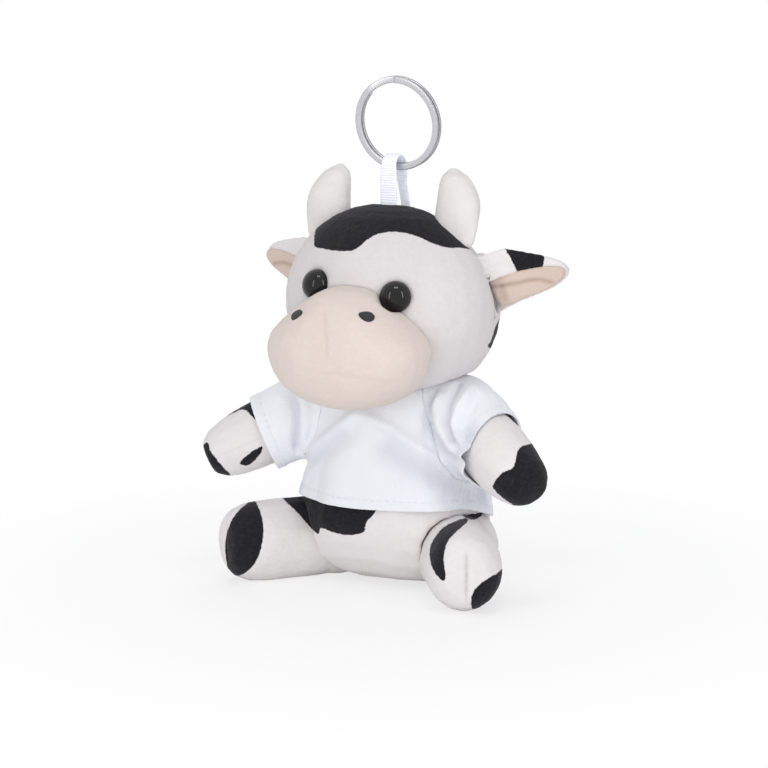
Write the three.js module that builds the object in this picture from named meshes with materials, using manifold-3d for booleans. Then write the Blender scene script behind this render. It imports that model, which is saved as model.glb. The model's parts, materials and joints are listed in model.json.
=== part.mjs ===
// A small seated plush cow in a T-shirt, on a ribbon loop and a split ring.
// Millimetres, +Z up. The toy faces -Y and its own left is +X. The origin is the middle of its flat seat.
import * as THREE from "three";
import { mergeVertices } from "three/addons/utils/BufferGeometryUtils.js";
import Module from "manifold-3d";

const wasm = await Module();
wasm.setup();

// Gaps between neighbours, and how much of a stuffed form the ground flattens
const gap = 0.3;
const flatCut = 0.5;

// Torso: an egg that sits flat, with a rounded saddle on top that the head nods on
const torsoWidth = 47;
const torsoDepth = 36;
const torsoHeight = 55.8;
const torsoBack = -1;
const widthTaper = 0.3;
const depthTaper = 0.45;
const crotchLift = 6;
const saddleRadius = 15.8;
const neckBack = -2;

// Head: a wide ball, pressed down on the saddle, whose back narrows and drops behind the top seam
const headWidth = 57.4;
const headDepth = 43;
const headHeight = 50.2;
const headBack = -3;
const headSink = 7.9;
const napeNarrowing = 0.13;
const napeDrop = 0.07;

// Muzzle: a broad round pad with a narrow bridge between the eyes
const muzzleWidth = 43;
const muzzleDepth = 28.6;
const muzzleHeight = 30.4;
const bridgeTaper = 0.3;
const muzzleSlope = 0.1;
const muzzleDrop = 9;
const muzzleForward = 1;
const muzzleCrease = 0.9;

// Eyes: domes on shanks, held behind the plush by lock washers
const eyeDiameter = 8.2;
const eyeDome = 3.4;
const eyeTurn = 24;
const eyeRiseLeft = 9.2;
const eyeRiseRight = 13;
const shankDiameter = 2.6;
const shankLength = 8;
const washerDiameter = 9;
const washerThickness = 1.2;
const washerDepth = 4;

// Horns: flattened cones, pinched in the top seam, that bow outward and lean in and back
const hornWidth = 12.4;
const hornDepth = 8.4;
const hornLength = 17.5;
const hornSpread = 17.6;
const hornBow = 1.5;
const hornHook = 1.2;
const hornForward = 1.6;
const hornLean = 3.4;
const hornPinch = 0.4;
const hornSink = 3;

// Ears: two leaves sewn back to back, on a rolled edge at the head's side seam
const earLength = 18.9;
const earRootTop = [21.6, -1.5, 88.9];
const earRootBottom = [28.5, 3.5, 72.3];
const earTipHeight = 6;
const earRise = 1.7;
const earSweep = 7;
const earCup = 1.4;
const earSheet = 1.7;
const liningSheet = 1.4;
const liningMargin = 0.3;
const liningCover = 0.42;
const earRoll = 2.4;
const rollInset = 2.4;

// Arms: blunt stubs that point down and forward, the right one a little lower
const shoulderSpan = 38;
const shoulderRadius = 10.6;
const armRadius = 8.2;
const armLength = 36;
const armForward = 30;
const armDown = 23;
const rightDroop = 2;
const armLowest = -4;

// Legs: pillows that point forward and outward, flat under the calf
const hipSpan = 36;
const hipRadius = 11;
const legWidth = 19.4;
const legHeight = 21.6;
const legLength = 31.6;
const legTurn = 33;
const legInward = -4;
const legOutward = 22;

// T-shirt: one jersey wall, wider at the hem than at the shoulders
const jersey = 0.9;
const hemWidth = 56;
const hemDepth = 46;
const hemHeight = 22;
const hemDip = 5;
const chestWidth = 43;
const neckWidth = 26;
const neckDepth = 17;
const foldDepth = 0.8;
const foldWaves = [{ count: 7, phase: 0.6, share: 1 }, { count: 11, phase: 2, share: 0.6 }];
const sleeveLength = 18;
const cuffRadius = 10.6;
const armholeDepth = 3.4;

// Ribbon: a woven tape folded over the ring's wire, with both ends in the head's top seam
const tapeWidth = 5;
const tapeThickness = 0.8;
const bightRadius = 2.4;
const ribbonHeight = 9.4;
const ribbonBack = -0.8;
const ribbonSide = -0.8;
const ribbonShift = 1.8;

// Split ring: flattened wire wound twice, with the step between its turns at the top
const ringDiameter = 24;
const wireWidth = 1.7;
const wireThickness = 0.86;
const ringPitch = 1.3;
const ringStep = 46;
const ringEnd = 1;
const ringLean = 8;
const ringSide = 1.2;

const radians = THREE.MathUtils.degToRad;
const at = (x, y, z) => new THREE.Vector3(x, y, z);
const up = at(0, 0, 1);

// Closed meshes from three.js geometry: only positions are kept, and shared corners are joined.
function sealed(geometry) {
  geometry.deleteAttribute("normal");
  geometry.deleteAttribute("uv");
  return mergeVertices(geometry, 1e-4);
}

function shaped(geometry, place) {
  const position = geometry.attributes.position;
  const point = at(0, 0, 0);
  for (let i = 0; i < position.count; i += 1) {
    place(point.fromBufferAttribute(position, i));
    position.setXYZ(i, point.x, point.y, point.z);
  }
  return geometry;
}

function ball(columns, rows, place) {
  const sphere = new THREE.SphereGeometry(1, columns, rows).rotateX(Math.PI / 2);
  return shaped(sealed(sphere), place);
}

// A closed body through rings of points: the ends are capped, or the last ring meets the first.
function lofted(rings, joined = false) {
  const count = rings[0].length;
  const points = rings.flat();
  const faces = [];
  const spans = joined ? rings.length : rings.length - 1;
  for (let j = 0; j < spans; j += 1) {
    for (let i = 0; i < count; i += 1) {
      const near = j * count;
      const far = ((j + 1) % rings.length) * count;
      const next = (i + 1) % count;
      faces.push(near + i, near + next, far + next, near + i, far + next, far + i);
    }
  }
  if (!joined) {
    const start = points.length;
    const middle = (ring) => ring.reduce((sum, p) => sum.add(p), at(0, 0, 0)).divideScalar(count);
    points.push(middle(rings[0]), middle(rings[rings.length - 1]));
    const last = (rings.length - 1) * count;
    for (let i = 0; i < count; i += 1) {
      const next = (i + 1) % count;
      faces.push(start, next, i, start + 1, last + i, last + next);
    }
  }
  const geometry = new THREE.BufferGeometry().setFromPoints(points);
  geometry.setIndex(faces);
  return geometry;
}

function solid(geometry) {
  const vertProperties = new Float32Array(geometry.attributes.position.array);
  const triVerts = new Uint32Array(geometry.index.array);
  return new wasm.Manifold(new wasm.Mesh({ numProp: 3, vertProperties, triVerts }));
}

// The same form with its skin moved out, to cut a neighbour clear of it.
function grown(geometry, distance = gap) {
  const copy = geometry.clone();
  copy.computeVertexNormals();
  const normal = copy.attributes.normal;
  let i = 0;
  return solid(
    shaped(copy, (p) => {
      p.addScaledVector(at(normal.getX(i), normal.getY(i), normal.getZ(i)), distance);
      i += 1;
    }),
  );
}

function skin(body) {
  const mesh = body.getMesh();
  const geometry = new THREE.BufferGeometry();
  geometry.setAttribute("position", new THREE.BufferAttribute(mesh.vertProperties, 3));
  geometry.setIndex(new THREE.BufferAttribute(mesh.triVerts, 1));
  return geometry;
}

function mirrored(geometry) {
  const copy = geometry.clone().scale(-1, 1, 1);
  const index = copy.index.array;
  for (let i = 0; i < index.length; i += 3) {
    [index[i + 1], index[i + 2]] = [index[i + 2], index[i + 1]];
  }
  return copy;
}

// Axes with the third along a direction, and the second as near to over as it can be.
function pointing(origin, direction, over) {
  const along = direction.clone().normalize();
  const side = over.clone().cross(along).normalize();
  const square = along.clone().cross(side);
  return new THREE.Matrix4().makeBasis(side, square, along).setPosition(origin);
}

function sphere(centre, radius) {
  const columns = 18;
  const rows = 11;
  return ball(columns, rows, (p) => p.multiplyScalar(radius).add(centre));
}

// A rod between two points with flat ends, drawn out past both by a margin.
function rod(start, end, radius, sides, margin = 0) {
  const length = start.distanceTo(end) + 2 * margin;
  const forward = at(0, -1, 0);
  const frame = pointing(start.clone().lerp(end, 0.5), end.clone().sub(start), forward);
  const cylinder = new THREE.CylinderGeometry(radius, radius, length, sides).rotateX(Math.PI / 2);
  return sealed(cylinder).applyMatrix4(frame);
}

function revolved(profile, sides, frame) {
  const points = profile.map(([radius, height]) => new THREE.Vector2(radius, height));
  const lathe = new THREE.LatheGeometry(points, sides).rotateX(Math.PI / 2);
  return sealed(lathe).applyMatrix4(frame);
}

// Pulls a point of the unit ball out towards a box, so that a stuffed form has fuller shoulders.
function plumped(p, fullness) {
  const sum = ["x", "y", "z"].reduce((total, k) => total + Math.abs(p[k]) ** fullness, 0);
  return p.multiplyScalar(sum ** (-1 / fullness));
}

// Room under the ground plane, taken off whatever stands on it
const ground = (() => {
  const wide = 200;
  const box = new THREE.BoxGeometry(wide, wide, wide).translate(0, 0, -wide / 2);
  return solid(sealed(box));
})();

// The nod axis runs across the chest. The torso's side stays inside the saddle, the head outside it.
const nodPivot = at(0, neckBack, torsoHeight - saddleRadius);

function saddle(radius) {
  const sides = 32;
  return solid(rod(nodPivot.clone().setX(-headWidth), nodPivot.clone().setX(headWidth), radius, sides));
}

const aboveNod = (() => {
  const wide = 200;
  const box = new THREE.BoxGeometry(wide, wide, wide).translate(0, 0, nodPivot.z + wide / 2);
  return solid(sealed(box));
})();

// What is left of a torso-side body when the head can nod over it
function underHead(body) {
  return body.subtract(aboveNod.subtract(saddle(saddleRadius)));
}

// Head and muzzle
const headMiddle = at(0, headBack, torsoHeight - headSink + headHeight / 2);

function onHead(direction) {
  const fullness = 2.12;
  const p = plumped(direction.clone().normalize(), fullness);
  const nape = THREE.MathUtils.smoothstep(p.y, -0.12, 0.3) * THREE.MathUtils.smoothstep(p.z, 0.1, 0.6);
  p.multiply(at(1 - napeNarrowing * nape, 1, 1 - napeDrop * nape));
  return p.multiply(at(headWidth / 2, headDepth / 2, headHeight / 2)).add(headMiddle);
}

function headForm() {
  const columns = 28;
  const rows = 17;
  return ball(columns, rows, (p) => p.copy(onHead(p)));
}

const muzzleMiddle = at(0, headMiddle.y - headDepth / 2 - muzzleForward, headMiddle.z - muzzleDrop);

function muzzleForm() {
  const fullness = 2.15;
  const columns = 26;
  const rows = 16;
  const creaseWidth = 0.12;
  const bridgeTop = 0.85;
  return ball(columns, rows, (p) => {
    plumped(p, fullness);
    const narrow = 1 - bridgeTaper * THREE.MathUtils.smoothstep(p.z, 0, bridgeTop);
    const deepen = 1 - muzzleSlope * p.z;
    const line = Math.exp(-((p.x / creaseWidth) ** 2)) * Math.max(0, -p.y) * (1 - p.z ** 2);
    const x = (muzzleWidth / 2) * p.x * narrow;
    p.set(x, (muzzleDepth / 2) * p.y * deepen + muzzleCrease * line, (muzzleHeight / 2) * p.z);
    p.add(muzzleMiddle);
  });
}

// Eyes: a direction from the head's middle finds each one's place and the skin's normal there.
function eyeFrame(side, riseDegrees) {
  const turn = radians(eyeTurn) * side;
  const rise = radians(riseDegrees);
  const aim = at(Math.sin(turn) * Math.cos(rise), -Math.cos(turn) * Math.cos(rise), Math.sin(rise));
  const place = onHead(aim);
  const halves = at(headWidth / 2, headDepth / 2, headHeight / 2);
  const normal = place.clone().sub(headMiddle).divide(halves).divide(halves).normalize();
  return pointing(place, normal, up);
}

const eyeBrim = 0.5;
const eyeSides = 20;

function eyeForm(frame) {
  const rim = eyeDiameter / 2;
  const profile = [[0, -shankLength], [shankDiameter / 2, -shankLength], [shankDiameter / 2, -eyeBrim]];
  profile.push([rim - eyeBrim / 2, -eyeBrim], [rim, -eyeBrim / 2], [rim, 0]);
  const steps = 5;
  for (let i = 1; i < steps; i += 1) {
    const turn = (i / steps) * (Math.PI / 2);
    profile.push([rim * Math.cos(turn), eyeDome * Math.sin(turn)]);
  }
  profile.push([0, eyeDome]);
  return revolved(profile, eyeSides, frame);
}

// The room that an eye's dome takes out of the head and the muzzle
function eyeRoom(frame) {
  const reach = eyeDiameter / 2 + gap;
  const profile = [[0, -eyeBrim - gap], [reach, -eyeBrim - gap], [reach, eyeDome], [0, eyeDome + reach]];
  return solid(revolved(profile, eyeSides, frame));
}

function washerForm(frame) {
  const bore = shankDiameter / 2 + gap;
  const rim = washerDiameter / 2;
  const low = -washerDepth - washerThickness / 2;
  const high = low + washerThickness;
  const profile = [[bore, low], [rim, low], [rim, high], [bore, high], [bore, low]];
  return revolved(profile, eyeSides, frame);
}

// The room in the stuffing that the shank and its washer take
function washerRoom(frame) {
  const shank = shankDiameter / 2 + gap;
  const low = -shankLength - gap;
  const half = washerThickness / 2 + gap;
  const reach = washerDiameter / 2 + gap;
  const profile = [[0, low], [shank, low], [shank, -washerDepth - half], [reach, -washerDepth - half]];
  profile.push([reach, -washerDepth + half], [shank, -washerDepth + half], [shank, 0], [0, 0]);
  return solid(revolved(profile, eyeSides, frame));
}

// Horns: elliptical sections along a bowed line, closed by a small round tip
function hornForm() {
  const rings = [];
  const rows = 9;
  const sides = 16;
  const bluntness = 2.3;
  const tipShare = 0.1;
  const seamSlope = 0.35;
  const root = onHead(at(hornSpread / headWidth, 0, Math.sqrt(0.25 - (hornSpread / headWidth) ** 2)));
  root.z -= hornSink;
  for (let j = 0; j <= rows; j += 1) {
    const t = j / rows;
    const side = hornSpread + hornBow * Math.sin(Math.PI * t) - hornHook * t * t;
    const middle = at(side, root.y - hornForward + hornLean * t, root.z + hornLength * t);
    const taper = THREE.MathUtils.lerp(tipShare, 1, Math.sqrt(1 - t ** bluntness));
    const pinch = THREE.MathUtils.lerp(hornPinch, 1, THREE.MathUtils.smoothstep(t, 0, 0.5));
    const ring = [];
    for (let i = 0; i < sides; i += 1) {
      const turn = (i / sides) * 2 * Math.PI;
      const x = (hornWidth / 2) * taper * Math.cos(turn);
      const y = (hornDepth / 2) * taper * pinch * Math.sin(turn);
      ring.push(at(middle.x + x, middle.y + y, middle.z + x * seamSlope * (1 - t)));
    }
    rings.push(ring);
  }
  return lofted(rings);
}

// Ears: the root line lies just outside the head's side, and the leaf narrows to a round tip.
const earTop = at(...earRootTop);
const earBottom = at(...earRootBottom);

function earLeaf(front, back, margin, cover) {
  const rings = [];
  const rows = 8;
  const sides = 14;
  const bluntness = 9;
  const tipShare = 0.15;
  const rootMiddle = earTop.clone().lerp(earBottom, 0.5);
  const tip = rootMiddle.clone().add(at(earLength, earSweep, earRise));
  for (let j = 0; j <= rows; j += 1) {
    const t = Math.sin((j / rows) * (Math.PI / 2)) * (1 - margin / earLength);
    const round = THREE.MathUtils.lerp(tipShare, 1, Math.sqrt(1 - t ** bluntness));
    const spine = rootMiddle.clone().lerp(tip, t);
    const high = earTop.clone().lerp(tip.clone().add(at(0, 0, earTipHeight / 2)), t);
    const half = high.sub(spine).multiplyScalar(round);
    half.setLength(Math.max(half.length() - margin, earSheet / 2));
    const share = cover(t);
    const ring = [];
    for (let i = 0; i < sides; i += 1) {
      const turn = (i / sides) * 2 * Math.PI;
      const width = share * (Math.cos(turn) + 1) - 1;
      const cup = earCup * Math.sin(Math.PI * t) * (1 - width * width);
      const level = THREE.MathUtils.lerp(front, back, (Math.sin(turn) + 1) / 2);
      ring.push(spine.clone().addScaledVector(half, width).add(at(0, level + cup, 0)));
    }
    rings.push(ring);
  }
  return lofted(rings.reverse());
}

function earForms() {
  const half = (earSheet + liningSheet + gap) / 2;
  const proud = 0.4;
  const widening = 0.35;
  const outer = earLeaf(-half, half, 0, () => 1);
  const share = (t) => liningCover + widening * t;
  const lining = earLeaf(-half - proud, -half + liningSheet, liningMargin, share);
  const sides = 16;
  const roll = rod(earTop, earBottom, earRoll, sides, -rollInset);
  const groove = rod(earTop, earBottom, earRoll + gap, sides, gap);
  return { outer, lining, roll, groove };
}

// Torso: under the hem the plan gets squarer than an ellipse, and the crotch is drawn up.
function torsoForm() {
  const fullness = 2.2;
  const squareness = 2.8;
  const columns = 22;
  const rows = 14;
  return ball(columns, rows, (p) => {
    plumped(p, fullness);
    const height = torsoHeight + flatCut;
    const power = THREE.MathUtils.lerp(2, squareness, THREE.MathUtils.smoothstep(-p.z, 0.3, 0.9));
    const ring = Math.max(Math.hypot(p.x, p.y), 1e-6);
    const corner = Math.abs(p.x / ring) ** power + Math.abs(p.y / ring) ** power;
    const square = corner ** (-1 / power);
    const x = (torsoWidth / 2) * p.x * square * (1 - widthTaper * p.z);
    const y = (torsoDepth / 2) * p.y * square * (1 - depthTaper * p.z);
    const lift = crotchLift * Math.max(0, -p.y) * THREE.MathUtils.smoothstep(-p.z, 0, 1);
    p.set(x, y, (height / 2) * (p.z + 1) + lift);
    p.add(at(0, torsoBack, -flatCut));
  });
}

// A stuffed limb: a ball drawn out along its frame's third axis, with blunt ends.
function limbForm({ frame, start, length, half, bluntness }) {
  const columns = 16;
  const rows = 11;
  return ball(columns, rows, (p) => {
    const t = (p.z + 1) / 2;
    const ring = Math.hypot(p.x, p.y);
    const full = Math.max(0, 1 - Math.abs(p.z) ** bluntness) ** (1 / bluntness);
    const swell = ring > 1e-6 ? full / ring : 0;
    const { side, over, lift } = half(t);
    p.set(p.x * swell * side, p.y * swell * over + lift, start + length * t);
    p.applyMatrix4(frame);
  });
}

// Arms and their shoulders
const limbSides = 20;
const shoulderDrop = 0.2;
const shoulder = at(shoulderSpan / 2, neckBack, torsoHeight - shoulderDrop - shoulderRadius);

function armAim(raise = 0) {
  const forward = radians(armForward);
  const down = radians(armDown);
  const aim = at(Math.cos(forward) * Math.cos(down), -Math.sin(forward) * Math.cos(down), -Math.sin(down));
  return aim.applyAxisAngle(at(0, 1, 0), radians(-raise));
}

function armFrame(raise = 0) {
  return pointing(shoulder, armAim(raise), up);
}

function armForm(raise) {
  const start = -shoulderRadius / 2;
  const middleSwell = 0.05;
  const flatness = 0.97;
  const half = (t) => {
    const over = armRadius * (1 - middleSwell * Math.cos(2 * Math.PI * t));
    return { side: over * flatness, over, lift: 0 };
  };
  return limbForm({ frame: armFrame(raise), start, length: armLength - start, half, bluntness: 3.6 });
}

// The sleeve: one wall round the arm's axis, with a round cap on the shoulder and an open cuff
function sleeveSolid(raise) {
  const steps = 6;
  const wall = [];
  for (const radius of [shoulderRadius, shoulderRadius - jersey]) {
    const side = [[0, -radius]];
    for (let i = 1; i <= steps; i += 1) {
      const turn = (i / steps) * (Math.PI / 2);
      side.push([radius * Math.sin(turn), -radius * Math.cos(turn)]);
    }
    side.push([radius + cuffRadius - shoulderRadius, sleeveLength]);
    wall.push(radius === shoulderRadius ? side : side.reverse());
  }
  const tube = solid(revolved(wall.flat(), limbSides, armFrame(raise)));
  return tube.subtract(inboard(armholeDepth));
}

// Everything on the body's side of a plane beside the shoulder
function inboard(depth) {
  const wide = 4 * shoulderRadius;
  const box = new THREE.BoxGeometry(wide, wide, wide);
  return solid(sealed(box).translate(shoulder.x - depth - wide / 2, shoulder.y, shoulder.z));
}

// The room that a lowered sleeve takes, filled in, to cut the torso and the shirt by
function armRoom(raise) {
  const far = sleeveLength + gap;
  const profile = [[0, 0], [shoulderRadius + gap, 0], [cuffRadius + gap, far], [0, far]];
  return solid(revolved(profile, limbSides, armFrame(raise)));
}

// Legs and their hips
const hip = at(hipSpan / 2, neckBack, hipRadius - flatCut);

function legForm(turn = 0) {
  const aim = at(Math.sin(radians(legTurn + turn)), -Math.cos(radians(legTurn + turn)), 0);
  const frame = pointing(at(hip.x, hip.y, 0), aim, up);
  const start = -hipRadius / 4;
  const rootShare = 0.94;
  const half = (t) => {
    const share = THREE.MathUtils.lerp(rootShare, 1, t);
    const over = (legHeight / 2) * share;
    return { side: (legWidth / 2) * share, over, lift: over - flatCut };
  };
  return limbForm({ frame, start, length: legLength - start, half, bluntness: 3.6 });
}

// T-shirt: an outer wall from hem to neck and an inner wall back down, with soft folds at the hem
function shirtRing(level, inset) {
  const sides = 31;
  const ring = [];
  for (let i = 0; i < sides; i += 1) {
    const turn = (i / sides) * 2 * Math.PI;
    const folds = foldWaves.map(({ count, phase, share }) => share * Math.sin(count * turn + phase));
    const fold = foldDepth * level.loose * folds.reduce((sum, wave) => sum + wave);
    const x = (level.width / 2 - inset + fold) * Math.cos(turn);
    const y = (level.depth / 2 - inset + fold) * Math.sin(turn);
    ring.push(at(x, y + level.back, level.height(x, y, turn)));
  }
  return ring;
}

// Over the shoulders the wall follows the saddle that the head nods on.
function shirtLevels() {
  const chest = nodPivot.z;
  const seat = saddleRadius - 0.05;
  const hem = (turn) => hemHeight - hemDip * THREE.MathUtils.smoothstep(Math.sin(turn), -0.4, 0.45);
  const levels = [0, 0.3, 0.65, 1].map((t) => {
    return {
      width: THREE.MathUtils.lerp(hemWidth, chestWidth, t),
      depth: THREE.MathUtils.lerp(hemDepth, 2 * seat, t),
      height: (x, y, turn) => THREE.MathUtils.lerp(hem(turn), chest, t),
      loose: (1 - t) ** 1.5,
      back: THREE.MathUtils.lerp(torsoBack, neckBack, t),
    };
  });
  const onSaddle = (width, depth, drop) => {
    const height = (x, y, turn) => chest + Math.sqrt(seat ** 2 - y ** 2) - drop * Math.cos(turn) ** 2;
    levels.push({ width, depth, height, loose: 0, back: neckBack, over: true });
  };
  for (const [t, narrow] of [[0.45, 1], [0.75, 0.97]]) {
    onSaddle(chestWidth * narrow, 2 * seat * Math.sqrt(1 - t * t), seat * (1 - t));
  }
  onSaddle(chestWidth * 0.86, neckDepth + 0.6, 0.5);
  onSaddle(neckWidth, neckDepth, 0);
  return levels;
}

function shirtForm() {
  const outer = shirtLevels().map((level) => shirtRing(level, 0));
  const inner = shirtLevels().map((level) => {
    const ring = shirtRing(level, jersey);
    for (const p of ring) {
      p.z -= level.over ? jersey : 0;
    }
    return ring;
  });
  return lofted([...outer, ...inner.reverse()], true);
}

// Ribbon: a U-shaped strip over the wire. Its foot turns in a round pocket in the head's seam.
const ribbonFoot = at(0, ribbonBack, onHead(at(0, 0, 1)).z + tapeThickness / 2);
const bight = at(0, ribbonBack, ribbonFoot.z + ribbonHeight);
const footRadius = bightRadius + tapeThickness + gap;

function ribbonForm() {
  const outer = bightRadius + tapeThickness;
  const low = -ribbonHeight - 1;
  const shape = new THREE.Shape();
  shape.moveTo(-outer, low);
  shape.lineTo(-bightRadius, low);
  shape.lineTo(-bightRadius, 0);
  shape.absarc(0, 0, bightRadius, Math.PI, 0, true);
  shape.lineTo(bightRadius, low);
  shape.lineTo(outer, low);
  shape.lineTo(outer, 0);
  shape.absarc(0, 0, outer, 0, Math.PI, false);
  const settings = { depth: tapeWidth, bevelEnabled: false, curveSegments: 12 };
  const strip = sealed(new THREE.ExtrudeGeometry(shape, settings).translate(0, 0, -tapeWidth / 2));
  return shaped(strip, (p) => {
    const drop = THREE.MathUtils.clamp(-p.y / ribbonHeight, 0, 1);
    const shift = p.x > 0 ? ribbonShift * drop : 0;
    p.set(p.z + ribbonSide + shift, p.x + bight.y, p.y + bight.z);
  });
}

function ribbonPocket(radius, margin) {
  const start = at(ribbonSide - tapeWidth / 2 - margin, ribbonFoot.y, ribbonFoot.z);
  const end = at(ribbonSide + tapeWidth / 2 + ribbonShift + margin, ribbonFoot.y, ribbonFoot.z);
  const sides = 28;
  return solid(rod(start, end, radius, sides));
}

// Split ring: one unbroken wire, wound twice about the ring's axis
const ringMiddle = (() => {
  const rise = ringDiameter / 2 - wireWidth / 2;
  const lean = radians(ringLean);
  return bight.clone().add(at(ringSide, -rise * Math.sin(lean), rise * Math.cos(lean)));
})();

function ringForm() {
  const radius = ringDiameter / 2 - wireWidth / 2;
  const step = radians(ringStep);
  const first = step / 2;
  const last = 4 * Math.PI - step / 2;
  const count = 60;
  const chamfer = 0.28;
  const a = wireWidth / 2;
  const b = wireThickness / 2;
  const section = [[a, -b + chamfer], [a, b - chamfer], [a - chamfer, b], [-a + chamfer, b]];
  section.push([-a, b - chamfer], [-a, -b + chamfer], [-a + chamfer, -b], [a - chamfer, -b]);
  const rings = [];
  for (let j = 0; j <= count; j += 1) {
    const turn = THREE.MathUtils.lerp(first, last, j / count);
    const climb = THREE.MathUtils.smoothstep(turn, 2 * Math.PI - step / 2, 2 * Math.PI + step / 2);
    const level = ringPitch * (climb - 0.5);
    const angle = Math.PI / 2 - radians(ringEnd) - (turn - first);
    const ring = section.map(([out, axial]) => {
      return at((radius + out) * Math.cos(angle), level + axial, (radius + out) * Math.sin(angle));
    });
    rings.push(ring.reverse());
  }
  console.log(`split ring: least gap between its turns ${(ringPitch - wireThickness).toFixed(2)} mm`);
  const place = new THREE.Matrix4().makeRotationX(radians(ringLean)).setPosition(ringMiddle);
  return lofted(rings).applyMatrix4(place);
}

// Colours and finishes
const finish = (color, roughness, metalness = 0) => {
  return new THREE.MeshStandardMaterial({ color, roughness, metalness });
};
const whitePlush = finish(0xe2dddc, 0.95);
const peachPlush = finish(0xead8ce, 0.95);
const whiteJersey = finish(0xe6ebf2, 0.85);
const whiteTape = finish(0xf0f1f4, 0.8);
const steel = finish(0xb9bcc0, 0.25, 1);
const blackGloss = finish(0x101012, 0.08);
const washerPlastic = finish(0xd8d8d4, 0.5);

// Assembly: each form is cut by the larger ones that it meets, with the gap between them.
const head = headForm();
const muzzle = muzzleForm();
const eyeAt = { left: eyeFrame(1, eyeRiseLeft), right: eyeFrame(-1, eyeRiseRight) };
const eyes = { left: eyeForm(eyeAt.left), right: eyeForm(eyeAt.right) };
const horn = hornForm();
const ear = earForms();
const torso = torsoForm();
const armRaise = { left: 0, right: -rightDroop };
const leg = legForm();
const shirt = shirtForm();
const ribbon = ribbonForm();

const both = (geometry) => [geometry, mirrored(geometry)];
const cutBy = (body, cutters) => cutters.reduce((rest, cutter) => rest.subtract(cutter), body);
const headCut = grown(head);

const hornSolid = solid(horn).subtract(headCut);
const muzzleSolid = solid(muzzle).subtract(headCut);
const domeRooms = [eyeAt.left, eyeAt.right].map(eyeRoom);
const shankRooms = [eyeAt.left, eyeAt.right].map(washerRoom);
const headSolid = cutBy(solid(head), [
  saddle(saddleRadius + gap),
  ...domeRooms,
  ...shankRooms,
  ...both(ear.groove).map(solid),
  ribbonPocket(footRadius + gap, 2 * gap),
]);

const earSolid = solid(ear.outer).add(solid(ear.roll)).subtract(grown(ear.lining));
const liningSolid = solid(ear.lining).subtract(solid(ear.groove));
const ribbonSolid = (() => {
  const wide = 4 * tapeWidth;
  const box = new THREE.BoxGeometry(wide, wide, wide);
  const below = solid(sealed(box).translate(0, ribbonFoot.y, ribbonFoot.z - wide / 2));
  return solid(ribbon).subtract(below.subtract(ribbonPocket(footRadius, wide)));
})();

const reflected = (body) => solid(mirrored(skin(body)));
const armSocket = solid(sphere(shoulder, shoulderRadius + gap));
const leftCuts = [armSocket, armRoom(armLowest + armRaise.left)];
const rightCuts = [armSocket, armRoom(armLowest + armRaise.right)].map(reflected);
const legTurns = [legInward, legOutward / 2, legOutward];
const legCut = [solid(sphere(hip, hipRadius + gap)), ...legTurns.map((turn) => grown(legForm(turn)))];
const limbCuts = [...leftCuts, ...rightCuts, ...legCut, ...legCut.map(reflected)];
const torsoSolid = cutBy(underHead(solid(torso)), [ground, ...limbCuts]);
const shirtSolid = cutBy(solid(shirt), [grown(torso), ...limbCuts]);

const shoulderCap = solid(sphere(shoulder, shoulderRadius)).intersect(inboard(armholeDepth + gap));
const legBall = solid(sphere(hip, hipRadius));
const legSolid = solid(leg).add(legBall).subtract(ground);

const toy = new THREE.Group();

// A mesh is hung in its body's group, so its points are counted from that body's pivot.
function hang(group, name, geometry, material) {
  const mesh = new THREE.Mesh(geometry.clone().translate(...group.position.clone().negate()), material);
  mesh.name = name;
  group.add(mesh);
}

function body(pivot) {
  const group = new THREE.Group();
  group.position.copy(pivot);
  toy.add(group);
  return group;
}

const pivots = {
  nod: nodPivot,
  shoulder,
  hip,
  ear: earTop.clone().lerp(earBottom, 0.5),
  ribbon: ribbonFoot,
  ring: bight,
};

const torsoBody = body(at(0, 0, 0));
hang(torsoBody, "torso", skin(torsoSolid), whitePlush);
hang(torsoBody, "shirt_body", skin(shirtSolid), whiteJersey);

const headBody = body(pivots.nod);
hang(headBody, "head", skin(headSolid), whitePlush);
hang(headBody, "muzzle", skin(cutBy(muzzleSolid, domeRooms)), peachPlush);

for (const [side, place] of [["left", (form) => form], ["right", mirrored]]) {
  const flip = side === "left" ? at(1, 1, 1) : at(-1, 1, 1);
  hang(headBody, `eye_${side}`, eyes[side], blackGloss);
  hang(headBody, `eye_washer_${side}`, washerForm(eyeAt[side]), washerPlastic);
  hang(headBody, `horn_${side}`, place(skin(hornSolid)), whitePlush);
  const armBody = body(pivots.shoulder.clone().multiply(flip));
  const armSolid = solid(armForm(armRaise[side])).add(shoulderCap);
  hang(armBody, `arm_${side}`, place(skin(armSolid)), whitePlush);
  hang(armBody, `sleeve_${side}`, place(skin(sleeveSolid(armRaise[side]))), whiteJersey);
  const legBody = body(pivots.hip.clone().multiply(flip));
  hang(legBody, `leg_${side}`, place(skin(legSolid)), whitePlush);
  const earBody = body(pivots.ear.clone().multiply(flip));
  hang(earBody, `ear_${side}`, place(skin(earSolid)), whitePlush);
  hang(earBody, `ear_lining_${side}`, place(skin(liningSolid)), peachPlush);
}

const ribbonBody = body(pivots.ribbon);
hang(ribbonBody, "hanging_ribbon", skin(ribbonSolid), whiteTape);
const ringBody = body(pivots.ring);
hang(ringBody, "split_ring", ringForm(), steel);

export default toy;
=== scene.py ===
# %% [markdown]
# # A plush cow on a split ring
#
# The construction model gives every piece its place and size. This lesson dresses it: stuffed velboa
# limbs, a ribbed jersey T-shirt, glossy safety eyes, a woven ribbon and a split ring of flattened wire. The
# toy is small, so every length below is written as a number times mm.

import json
import math

import bmesh
import bpy
import numpy as np
from mathutils import Matrix, Vector, noise
from mathutils.bvhtree import BVHTree


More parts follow.
